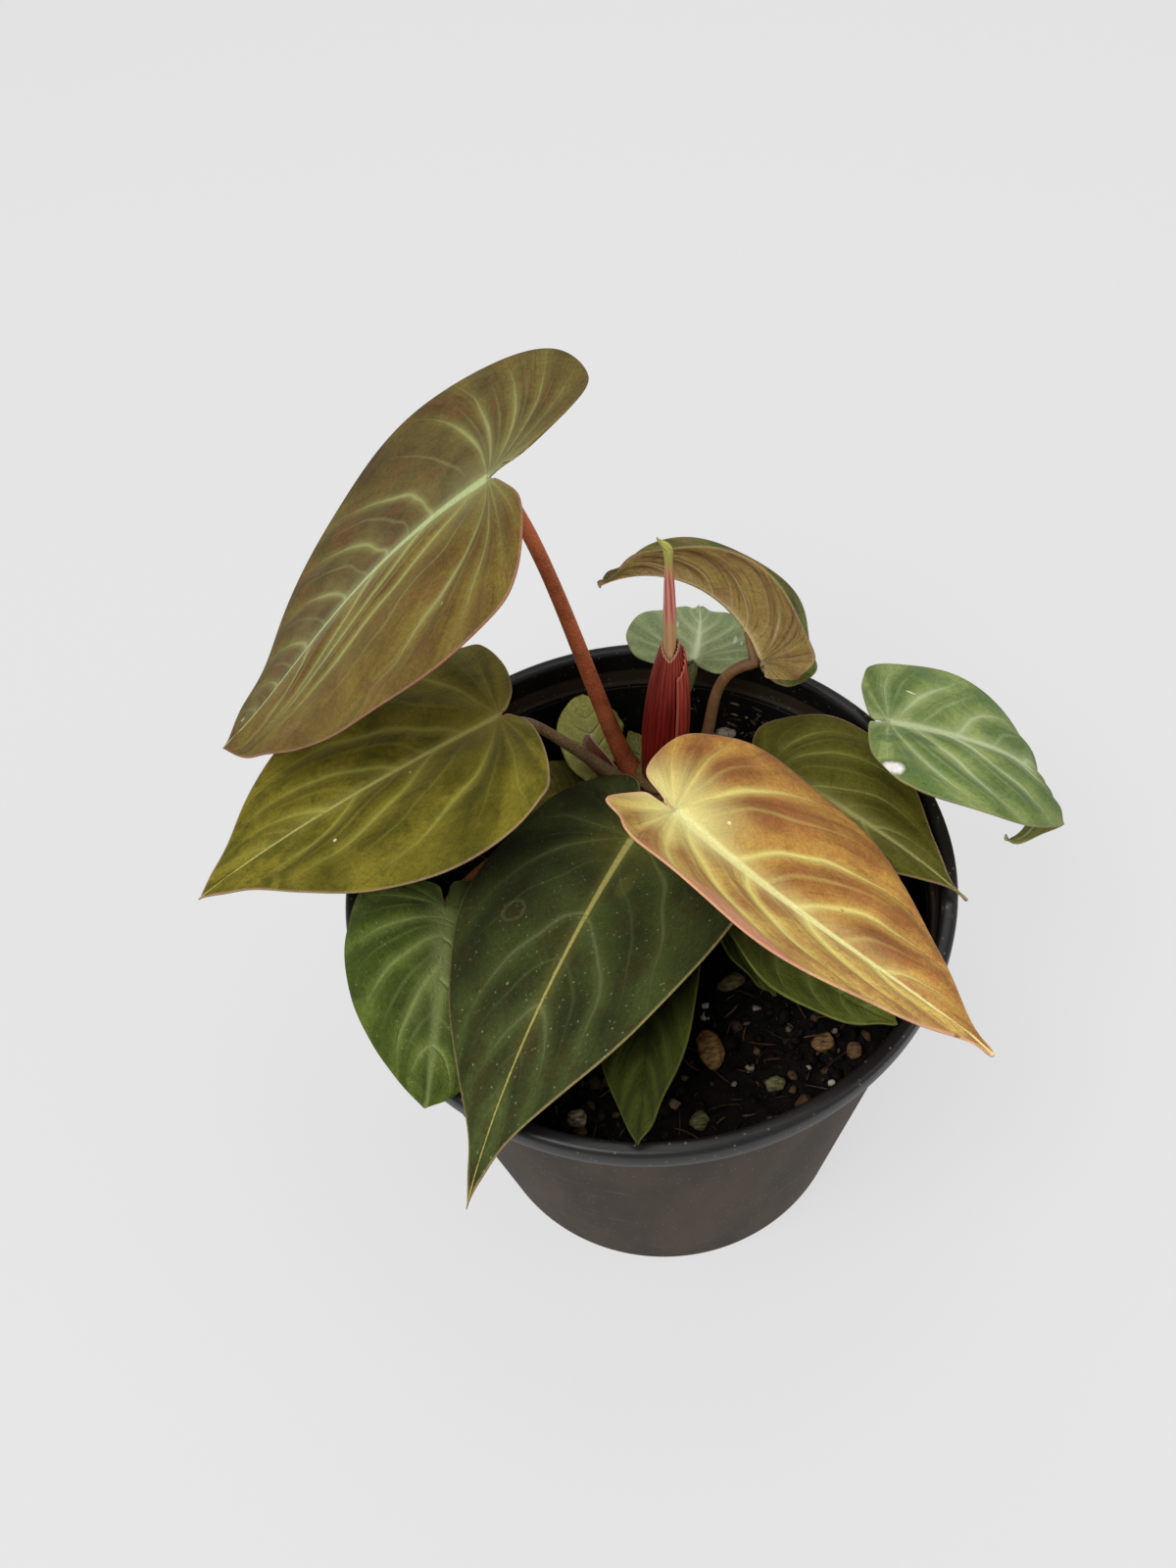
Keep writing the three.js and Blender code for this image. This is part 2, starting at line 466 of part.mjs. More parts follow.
// Height of the soil's surface: low lumps by a formula, calm near the wall, the stem and the chunks
function soilHeight(x, y) {
  const edge = THREE.MathUtils.smoothstep(SOIL.calmRadius - Math.hypot(x, y), 0, 10);
  const stem = THREE.MathUtils.smoothstep(Math.hypot(x - STEM.x, y - STEM.y), STEM.footRadius, SOIL.stemCalm);
  const calm = CHUNKS.reduce((least, { at, size }) => Math.min(least,
    THREE.MathUtils.smoothstep(Math.hypot(x - at[0], y - at[1]), Math.max(...size) + 4, 16)), 1);
  const lumps = Math.sin(x * 0.21 + 1.3) * Math.cos(y * 0.17 - 0.4) + 0.6 * Math.sin(x * 0.37 - y * 0.31 + 2);
  return SOIL_LEVEL + SOIL.lump * edge * stem * calm * lumps;
}

// The soil: fills the pot up to its surface, with a plain hole for the stem
function soilGeometry() {
  const { segments, floor } = POT;
  const bottom = floor + SOIL.gap;
  const ring = (radius, height) => Array.from({ length: segments }, (_, k) => {
    const angle = (2 * Math.PI * k) / segments;
    const x = radius * Math.sin(angle);
    const y = -radius * Math.cos(angle);
    return new THREE.Vector3(x, y, height === null ? soilHeight(x, y) : height);
  });
  const rings = [ring(potInnerRadius(bottom) - SOIL.gap, bottom)];
  const wide = potInnerRadius(SOIL_LEVEL) - SOIL.gap;
  for (let i = 0; i < SOIL.rings; i += 1) rings.push(ring(wide * (1 - i / SOIL.rings), null));
  const soil = solidOf(ringGeometry(rings));
  const hole = new THREE.CylinderGeometry(SOIL.stemHole, SOIL.stemHole, 2 * (STEM.rootDepth + 1), 20);
  hole.rotateX(Math.PI / 2);
  hole.translate(STEM.x, STEM.y, SOIL_LEVEL);
  return geometryOf(soil.subtract(solidOf(hole)));
}

// The stem: a short cone with a foot in the soil
function stemGeometry() {
  const profile = [
    [0, SOIL_LEVEL - STEM.rootDepth - GAP], [STEM.footRadius - 2, SOIL_LEVEL - STEM.rootDepth - GAP],
    [STEM.footRadius, SOIL_LEVEL - STEM.rootDepth + 2], [STEM.footRadius, SOIL_LEVEL],
    [STEM.topRadius, STEM_TOP], [0, STEM_TOP],
  ];
  const turned = new THREE.LatheGeometry(profile.map(([r, z]) => new THREE.Vector2(r, z)), STEM.segments);
  turned.rotateX(Math.PI / 2);
  return geometryOf(solidOf(turned)).translate(STEM.x, STEM.y, 0);
}

// The two sheaths round the youngest leaf, and the rolled leaf that comes out of them
// The inner one's mouth rises to a peak on the side that crestWay names, in degrees.
const SHEATH = {
  foot: [7.6, 39.6], top: [11.8, 42], height: 48, halfWidth: 5.8, halfDepth: 4.6, peak: 5, wall: 0.9,
  footSize: 0.78, belly: 0.42, taper: 0.5, crestWay: 200, pocket: 26, sides: 16,
  outerHeight: 45, outerFrom: -70, outerTo: 75, outerSteps: 10, outerPeak: 4,
};
const SPIKE = {
  tip: [12.3, 43.5, 190], radius: 1.6, thinning: 0.55, bulge: 0.25, bulgeAt: 0.93, bulgeSpread: 0.05,
  point: 0.35, sides: 8, steps: 8,
};

// A point of the sheath's skin: share up from the foot, angle round it, and how far outside the skin
function sheathPoint(share, angle, outside, lift) {
  const x = SHEATH.foot[0] + (SHEATH.top[0] - SHEATH.foot[0]) * share;
  const y = SHEATH.foot[1] + (SHEATH.top[1] - SHEATH.foot[1]) * share;
  const belly = SHEATH.belly * Math.sin(Math.PI * share * 0.9);
  const swell = SHEATH.footSize + belly - SHEATH.taper * share ** 4;
  const wide = SHEATH.halfWidth * swell + outside;
  const deep = SHEATH.halfDepth * swell + outside;
  return new THREE.Vector3(x + wide * Math.cos(angle), y + deep * Math.sin(angle),
    STEM_TOP + GAP + SHEATH.height * share + lift);
}

// The inner sheath: closed below, with an open pocket at its pointed mouth
function innerSheathGeometry() {
  const ring = (share, outside, lift) => Array.from({ length: SHEATH.sides }, (_, k) => {
    const angle = (2 * Math.PI * k) / SHEATH.sides;
    const crest = lift ? SHEATH.peak * Math.max(0, Math.cos(angle - radians(SHEATH.crestWay))) : 0;
    return sheathPoint(share, angle, outside, crest);
  });
  const mouth = 1 - SHEATH.peak / SHEATH.height;
  const rings = [0, 0.2, 0.45, 0.7].map((share) => ring(share, 0, false));
  rings.push(ring(mouth, 0, true), ring(mouth, -SHEATH.wall, true));
  rings.push(ring(0.8, -SHEATH.wall, false));
  rings.push(ring(1 - SHEATH.pocket / SHEATH.height, -SHEATH.wall * 1.6, false));
  return ringGeometry(rings);
}

// The outer sheath: a curved panel that clasps the inner one on its right side
function outerSheathGeometry() {
  const { outerFrom, outerTo, outerSteps, outerHeight, height, wall } = SHEATH;
  const shares = [0, 0.25, 0.5, 0.72, 0.9].map((share) => (share * outerHeight) / height);
  const skin = (outside) => shares.map((share, i) => Array.from({ length: outerSteps + 1 }, (_, k) => {
    const turn = k / outerSteps;
    const angle = radians(outerFrom + (outerTo - outerFrom) * turn);
    const crest = i === shares.length - 1 ? SHEATH.outerPeak * Math.sin(Math.PI * turn) : 0;
    return sheathPoint(share, angle, outside, crest);
  }));
  const outer = skin(GAP + wall);
  const inner = skin(GAP);
  const triangles = [];
  const quad = (a, b, c, d) => triangles.push([a, b, c], [a, c, d]);
  const last = shares.length - 1;
  for (let i = 0; i < last; i += 1) {
    for (let k = 0; k < outerSteps; k += 1) {
      quad(outer[i][k], outer[i][k + 1], outer[i + 1][k + 1], outer[i + 1][k]);
      quad(inner[i][k + 1], inner[i][k], inner[i + 1][k], inner[i + 1][k + 1]);
    }
    quad(inner[i][0], outer[i][0], outer[i + 1][0], inner[i + 1][0]);
    quad(outer[i][outerSteps], inner[i][outerSteps], inner[i + 1][outerSteps], outer[i + 1][outerSteps]);
  }
  for (let k = 0; k < outerSteps; k += 1) {
    quad(inner[0][k], inner[0][k + 1], outer[0][k + 1], outer[0][k]);
    quad(outer[last][k], outer[last][k + 1], inner[last][k + 1], inner[last][k]);
  }
  return closedGeometry(triangles);
}

// The rolled new leaf, standing in the pocket of the inner sheath
function spikeGeometry() {
  const low = 1 - SHEATH.pocket / SHEATH.height;
  const foot = sheathPoint(low, 0, -SHEATH.halfWidth, GAP);
  const centre = new THREE.Vector3(
    SHEATH.foot[0] + (SHEATH.top[0] - SHEATH.foot[0]) * low,
    SHEATH.foot[1] + (SHEATH.top[1] - SHEATH.foot[1]) * low, foot.z);
  const mouth = new THREE.Vector3(SHEATH.top[0] + 0.6, SHEATH.top[1], STEM_TOP + SHEATH.height);
  const curve = new THREE.QuadraticBezierCurve3(centre, mouth, new THREE.Vector3(...SPIKE.tip));
  const frames = curve.computeFrenetFrames(SPIKE.steps, false);
  const rings = Array.from({ length: SPIKE.steps + 1 }, (_, i) => {
    const t = i / SPIKE.steps;
    const bulge = SPIKE.bulge * Math.exp(-(((t - SPIKE.bulgeAt) / SPIKE.bulgeSpread) ** 2));
    const radius = SPIKE.radius * (1 - SPIKE.thinning * t + bulge);
    const taper = i === SPIKE.steps ? SPIKE.point : 1;
    const point = curve.getPointAt(t);
    return Array.from({ length: SPIKE.sides }, (_unused, k) => {
      const angle = (2 * Math.PI * k) / SPIKE.sides;
      return point.clone().addScaledVector(frames.normals[i], Math.cos(angle) * radius * taper)
        .addScaledVector(frames.binormals[i], Math.sin(angle) * radius * taper);
    });
  });
  return ringGeometry(rings);
}

// The cut-off sheath of an old leaf, a short trough that leans out beside the left leaf's petiole
const STUB = { base: [160, 3.2], end: [-12.4, 46.3, 115], radius: [1.5, 1.9], rise: 8, sides: 7, steps: 6 };

function stubGeometry() {
  const seat = stemSeat(STUB.base);
  const leave = seat.outward.clone().add(new THREE.Vector3(0, 0, 0.9)).normalize();
  const end = new THREE.Vector3(...STUB.end);
  const knee = seat.place.clone().addScaledVector(leave, STUB.rise);
  const curve = new THREE.QuadraticBezierCurve3(seat.place, knee, end);
  return stalkGeometry(curve, STUB.radius, STUB.sides, STUB.steps, seat.outward, curve.getTangentAt(1));
}

// A rough lump that rests on the soil: a faceted ball, squeezed and knocked about by a formula
function chunkGeometry({ at, size, turn }, number) {
  const rough = new THREE.IcosahedronGeometry(1, 1);
  const place = rough.getAttribute('position');
  for (let i = 0; i < place.count; i += 1) {
    const p = new THREE.Vector3().fromBufferAttribute(place, i);
    const key = Math.round(p.x * 100) * 0.13 + Math.round(p.y * 100) * 0.29 + Math.round(p.z * 100) * 0.47;
    p.multiplyScalar(0.92 + 0.13 * Math.sin(key + number * 1.7));
    place.setXYZ(i, p.x * size[0], p.y * size[1], p.z * size[2]);
  }
  rough.rotateZ(radians(turn));
  rough.computeBoundingBox();
  const rest = soilHeight(...at) + GAP;
  rough.translate(at[0], at[1], rest - rough.boundingBox.min.z);
  return geometryOf(solidOf(rough));
}

// A closed three.js geometry as a solid for joining and cutting
function solidOf(geometry) {
  const bare = geometry.clone();
  bare.deleteAttribute('normal');
  bare.deleteAttribute('uv');
  const merged = mergeVertices(bare, 1e-4);
  const index = Array.from(merged.index.array);
  const kept = [];
  for (let i = 0; i < index.length; i += 3) {
    const [a, b, c] = index.slice(i, i + 3);
    if (a !== b && b !== c && a !== c) kept.push(a, b, c);
  }
  return new wasm.Manifold(new wasm.Mesh({
    numProp: 3,
    vertProperties: new Float32Array(merged.getAttribute('position').array),
    triVerts: new Uint32Array(kept),
  }));
}

// A solid back as a three.js geometry
function geometryOf(solid) {
  const mesh = solid.getMesh();
  const geometry = new THREE.BufferGeometry();
  geometry.setAttribute('position', new THREE.BufferAttribute(new Float32Array(mesh.vertProperties), 3));
  geometry.setIndex(new THREE.BufferAttribute(new Uint32Array(mesh.triVerts), 1));
  geometry.computeVertexNormals();
  return geometry;
}

const plant = new THREE.Group();

// Adds one named piece with its own colour
function add(name, geometry, colour, roughness = 0.6) {
  const material = new THREE.MeshStandardMaterial({ color: COLOUR[colour], roughness, metalness: 0 });
  const mesh = new THREE.Mesh(geometry, material);
  mesh.name = name;
  plant.add(mesh);
}

add('pot', potGeometry(), 'pot', 0.45);
add('soil', soilGeometry(), 'soil', 0.95);
add('stem', stemGeometry(), 'stem', 0.7);
for (const leaf of LEAVES) {
  add(`${leaf.name}_blade`, bladeGeometry(leaf), leaf.colour, 0.55);
  add(`${leaf.name}_petiole`, petioleGeometry(leaf), leaf.stalk, 0.5);
}
add('cataphyll_inner', innerSheathGeometry(), 'cataphyll', 0.5);
add('cataphyll_outer', outerSheathGeometry(), 'cataphyll', 0.5);
add('new_leaf_spike', spikeGeometry(), 'spike', 0.45);
add('old_leaf_stub', stubGeometry(), 'stub', 0.6);
CHUNKS.forEach((chunk, number) => add(chunk.name, chunkGeometry(chunk, number), chunk.colour, 0.85));

export default plant;
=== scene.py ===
# A potted philodendron: fine leaves, petioles, sheaths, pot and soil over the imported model.
# Lengths below are millimetres, and meshes are made in metres.
import math

import bpy
import numpy as np
from mathutils import Matrix, Vector


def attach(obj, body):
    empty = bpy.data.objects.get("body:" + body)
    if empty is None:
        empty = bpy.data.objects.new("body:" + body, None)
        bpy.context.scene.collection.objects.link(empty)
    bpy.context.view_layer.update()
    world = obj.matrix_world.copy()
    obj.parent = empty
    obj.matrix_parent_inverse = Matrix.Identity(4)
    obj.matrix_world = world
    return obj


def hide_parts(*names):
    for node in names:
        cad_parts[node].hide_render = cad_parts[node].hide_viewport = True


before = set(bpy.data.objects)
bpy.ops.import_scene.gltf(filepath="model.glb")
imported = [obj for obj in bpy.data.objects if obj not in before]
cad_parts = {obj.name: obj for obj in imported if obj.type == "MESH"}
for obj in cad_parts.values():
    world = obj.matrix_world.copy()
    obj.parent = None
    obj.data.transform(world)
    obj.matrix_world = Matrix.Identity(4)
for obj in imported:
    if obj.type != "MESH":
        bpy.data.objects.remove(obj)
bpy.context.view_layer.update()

MM = 0.001
SEED = 20

# Camera, matched to the photograph: it looks at the middle of the rim
VIEW = dict(elevation=53.2, distance=409, focal=1700, roll=-6.6, shift=(61, -88.5), target=(0, 0, 120))
PHOTO_HEIGHT = 1600
SENSOR = 36

# Potting mix and stem, as packed
SOIL_LEVEL, SOIL_RADIUS, SOIL_FOOT_RADIUS, SOIL_FOOT = 94, 65.7, 50.2, 3
STEM_X, STEM_Y, STEM_FOOT, STEM_HEAD, STEM_HEIGHT, STEM_ROOT = 7, 39, 11, 6, 13, 84.6
STEM_TOP = SOIL_LEVEL + STEM_HEIGHT

# One half of a leaf laid flat: along its midrib and across, for a leaf of unit size
HALF_LEAF = np.array([
    (0, 0), (-0.45, 0.12), (-0.85, 0.27), (-1, 0.5), (-0.72, 0.78), (-0.12, 0.95), (0.16, 1),
    (0.36, 0.94), (0.56, 0.74), (0.74, 0.45), (0.86, 0.215), (0.94, 0.085), (1, 0)])
WIDEST = 6
SHOULDER_SHIFT = 38
VEIN_START, VEIN_POWER, VEIN_BOW = 0.1, 1.5, 0.1
BLADE_THICK, RIDGE = 0.5, 1.1
LARGE_GRID, SMALL_GRID = (150, 44), (64, 20)

# The leaves as packed: place and turn of the joint, flat outline, bends, and the petiole's route
PLAIN_LEAF = dict(small=False, sinus=1, shoulder=(1, 1), tip_power=4)
LEAVES = {
    "leaf_tall": dict(
        joint=(-26.5, 51, 207), turn=(-179, 32, 20.5), length=99.5, half=(47, 47), lobe=(10.5, 24),
        widest=0.15, taper=0.65, fold=(-10, -1.5), curl=(-12, 30), bend=(31, -22.5, 10.5, -3),
        base=(144, 8), steep=1.1, rise=17, reach=14, entry=17, stalk=(2.4, 1.8)),
    "leaf_left": dict(
        joint=(-32, 36, 142), turn=(-162.5, 10.5, 19), length=87, half=(43, 41.5), lobe=(6.5, 7),
        widest=0.12, taper=1.1, sinus=0.65, fold=(12, 1), curl=(-21, -4.5), bend=(5, 7, 5, -30),
        base=(181, 8.6), steep=1, rise=50, reach=8, entry=52, stalk=(1.9, 1.4)),
    "leaf_rim": dict(
        joint=(-50.5, -3, 118.2), turn=(-92.5, -16.5, -17.5), length=57.5, half=(25, 23.2), lobe=(15, 9),
        widest=0.2, taper=0.65, sinus=0.25, fold=(-11, 10), curl=(-32, -32), bend=(19.5, 0, -0.5, 4.5),
        base=(196, 3.4), steep=0.5, rise=24, reach=34, entry=55, stalk=(1.6, 1.2)),
    "leaf_front": dict(
        joint=(-3, 5.5, 126.5), turn=(-119.5, -14, 7.5), length=101.5, half=(38, 38.5), lobe=(14, 29.5),
        widest=0.1, taper=1.35, sinus=0.85, fold=(3, -7), curl=(15.5, -16.5), bend=(26, 21.5, -0.5, -1.5),
        base=(243, 9.5), steep=1.1, rise=14, reach=12, entry=40, stalk=(2, 1.6)),
    "leaf_amber": dict(
        joint=(7, -3, 148), turn=(-50, 12, -26), length=89.5, half=(41.5, 41.5), lobe=(15.5, 9),
        widest=0.15, taper=1.15, sinus=0.3, fold=(1, 9.5), curl=(0, 32.5), bend=(-17, 18.5, 2, 3),
        shoulder=(1, 0.89), base=(283, 9.5), steep=1.1, rise=26, reach=14, entry=30, stalk=(2.1, 1.7)),
    "leaf_olive": dict(
        joint=(34.5, 24.5, 121.7), turn=(-48.5, -14, -6.5), length=60.5, half=(25.5, 25.5), lobe=(14, 13),
        widest=0.14, taper=1.5, sinus=0.8, fold=(5.5, 6.5), curl=(-5.5, -32), bend=(24.5, 8, 3.5, -2),
        base=(318, 9), steep=0.8, rise=10, reach=8, entry=45, stalk=(1.7, 1.4)),
    "leaf_right": dict(
        joint=(64.8, 29.3, 130), turn=(-9.5, 13, -25), length=77.3, half=(31.8, 34.5), lobe=(5.2, 6.8),
        widest=0.12, taper=1.35, sinus=0.25, fold=(-2.5, 6.5), curl=(9.5, -12), bend=(39.5, 205, 31, 28.5),
        tip_power=5, base=(350.7, 8.1), steep=0.4, rise=20, via=(69.3, 35.2, 111.5), entry=0,
        stalk=(1.6, 1.2)),
    "leaf_back": dict(
        joint=(19, 58, 129), turn=(74.5, 22.5, -1.5), length=39.5, half=(19, 17), lobe=(8.5, 9),
        widest=0.14, taper=1.1, fold=(15.5, 19), curl=(-1.5, -15), bend=(8, 0, 11, 8), base=(74, 9.5),
        steep=1, rise=14, reach=8, entry=35, stalk=(1.6, 1.2)),
    "leaf_curled": dict(
        joint=(34.5, 43, 143.5), turn=(105.5, -43, 82), length=51, half=(22.5, 23), lobe=(5.5, 7.5),
        widest=0.13, taper=1, sinus=0.25, fold=(31, 52.5), curl=(-14, -9), bend=(93.5, 7, 5, 15.5),
        base=(16, 9), steep=0.55, rise=16.5, reach=15.4, entry=-7.7, stalk=(1.8, 1.4)),
    "leaf_juvenile": dict(
        small=True, joint=(-6, 50.5, 100), turn=(138, -41, 10.5), length=20, half=(12, 12), lobe=(3.5, 3.5),
        widest=0.21, taper=0.6, fold=(11, 9.5), curl=(-1.5, -39), bend=(-15, 0, -41, -32.5),
        base=(132, 3.4), steep=0.2, rise=2, reach=2.5, entry=65, stalk=(1, 0.8)),
    "leaf_low_back": dict(
        small=True, joint=(17.5, 48.5, 97.5), turn=(42, -8, -4), length=13, half=(6.5, 6.5), lobe=(3, 3),
        widest=0.2, taper=0.7, sinus=0.8, fold=(12, 12), curl=(-10, -10), bend=(24, 10, 0, 0), base=(40, 3),
        steep=0, rise=1, reach=1, entry=60, stalk=(0.7, 0.5)),
    "leaf_tiny_back": dict(
        small=True, joint=(3.5, 51.3, 98), turn=(110, -38, 0), length=9, half=(3.4, 3.4), lobe=(1.5, 1.5),
        widest=0.25, taper=0.8, fold=(18, 18), curl=(-10, -10), bend=(30, 0, 0, 0), base=(104, 2.6),
        steep=0, rise=1, reach=1, entry=65, stalk=(0.6, 0.5)),
    "leaf_shaded": dict(
        small=True, joint=(-13, 37.5, 98), turn=(146, -16, -1), length=23, half=(11.5, 11.5),
        lobe=(3.5, 2.5), widest=0.17, taper=0.8, fold=(12, 12), curl=(-17, -26), bend=(34, 16, 4.5, -6.5),
        base=(214, 2.4), steep=0, rise=2, reach=2, entry=60, stalk=(1, 0.8)),
    "leaf_small_front": dict(
        small=True, joint=(-3.5, -17, 117.5), turn=(-90.5, -11, 8.5), length=57, half=(15, 14.5),
        lobe=(12.5, 12.5), widest=0.14, taper=0.7, fold=(21, 14.5), curl=(-2, -19), bend=(5, 8, -14.5, 3.5),
        base=(262, 3), steep=0.5, rise=16, reach=12, entry=55, stalk=(1.4, 1.1)),
    "leaf_small_dark": dict(
        small=True, joint=(12.7, -5.5, 115), turn=(-58, 29, -24.5), length=31, half=(8, 11), lobe=(7, 7),
        widest=0.16, taper=0.9, fold=(9, 21.5), curl=(-20, 25.5), bend=(4.5, 0, 8, 7), base=(298, 3),
        steep=0.6, rise=12, reach=8, entry=40, stalk=(1.2, 1)),
    "leaf_small_right": dict(
        small=True, joint=(26, -11, 111), turn=(-67.5, -1, -16), length=48.5, half=(20.5, 21),
        lobe=(10.5, 10.5), widest=0.16, taper=0.85, fold=(14.5, 20.5), curl=(-20, 30),
        bend=(-28.5, 0, 13.5, 24), base=(338, 3), steep=0.4, rise=14, reach=10, entry=0, stalk=(1.2, 1)),
}

# Side veins of the large leaves, for the left and the right half seen from the joint. Each one starts and
# ends at a share of the outline, first at the midrib and then at the margin, with a power for its curve.
PLAIN_VEINS = ((0.1, 0.11), (0.22, 0.23), (0.34, 0.355), (0.44, 0.47), (0.515, 0.585), (0.6, 0.69),
               (0.68, 0.775), (0.76, 0.85), (0.84, 0.91))
USUAL_CURVE = 1.4
VEINS = {
    "leaf_tall": (
        ((0.1, 0.12), (0.22, 0.27), (0.31, 0.38), (0.37, 0.5), (0.4, 0.65), (0.5, 0.93, 1.1),
         (0.58, 0.97, 1.1), (0.66, 0.985), (0.75, 0.99)),
        ((0.12, 0.14, 2), (0.26, 0.29, 2), (0.31, 0.35, 2), (0.36, 0.41, 2), (0.44, 0.47, 2),
         (0.475, 0.53, 2), (0.585, 0.655, 2), (0.645, 0.7, 2), (0.7, 0.757, 2), (0.76, 0.81, 2),
         (0.82, 0.87, 2), (0.88, 0.92, 2))),
    "leaf_left": (
        ((0.12, 0.12), (0.2, 0.2), (0.3, 0.33), (0.44, 0.455), (0.5, 0.69, 1.7), (0.605, 0.8, 1.2),
         (0.7, 0.86)),
        ((0.12, 0.13), (0.25, 0.26), (0.385, 0.41), (0.5, 0.56), (0.575, 0.76), (0.66, 0.83),
         (0.74, 0.88), (0.82, 0.92))),
    "leaf_rim": (
        ((0.13, 0.14), (0.27, 0.28), (0.4, 0.41), (0.515, 0.56), (0.58, 0.72), (0.66, 0.86), (0.8, 0.93)),
        ((0.13, 0.14), (0.27, 0.28), (0.4, 0.41), (0.515, 0.545), (0.575, 0.7), (0.62, 0.86, 0.9),
         (0.8, 0.93))),
    "leaf_front": (
        ((0.12, 0.12), (0.25, 0.26), (0.38, 0.43), (0.5, 0.665, 0.9), (0.645, 0.75), (0.73, 0.8),
         (0.82, 0.87)),
        ((0.12, 0.12), (0.25, 0.26), (0.37, 0.375), (0.49, 0.62, 2.2), (0.64, 0.74, 2), (0.73, 0.79),
         (0.82, 0.87))),
    "leaf_amber": (
        ((0.11, 0.12), (0.22, 0.24), (0.33, 0.37), (0.465, 0.56, 2.5), (0.6, 0.71, 2.5),
         (0.675, 0.78, 1.8), (0.78, 0.87)),
        ((0.12, 0.13), (0.26, 0.28), (0.39, 0.42), (0.5, 0.55), (0.52, 0.69, 1), (0.615, 0.75, 1.3),
         (0.685, 0.84), (0.76, 0.9))),
    "leaf_olive": (
        ((0.11, 0.12), (0.22, 0.27), (0.34, 0.57, 2), (0.475, 0.7, 1.8), (0.6, 0.8), (0.72, 0.88)),
        ((0.12, 0.13), (0.26, 0.28), (0.4, 0.44), (0.5, 0.6), (0.6, 0.72), (0.7, 0.8), (0.8, 0.88))),
    "leaf_right": (
        ((0.12, 0.13), (0.3, 0.32), (0.45, 0.475), (0.515, 0.605, 1), (0.62, 0.685), (0.72, 0.8),
         (0.82, 0.88)),
        ((0.15, 0.16), (0.3, 0.34), (0.43, 0.545, 1.2), (0.555, 0.59, 1), (0.595, 0.665, 0.5), (0.7, 0.8),
         (0.82, 0.88))),
}

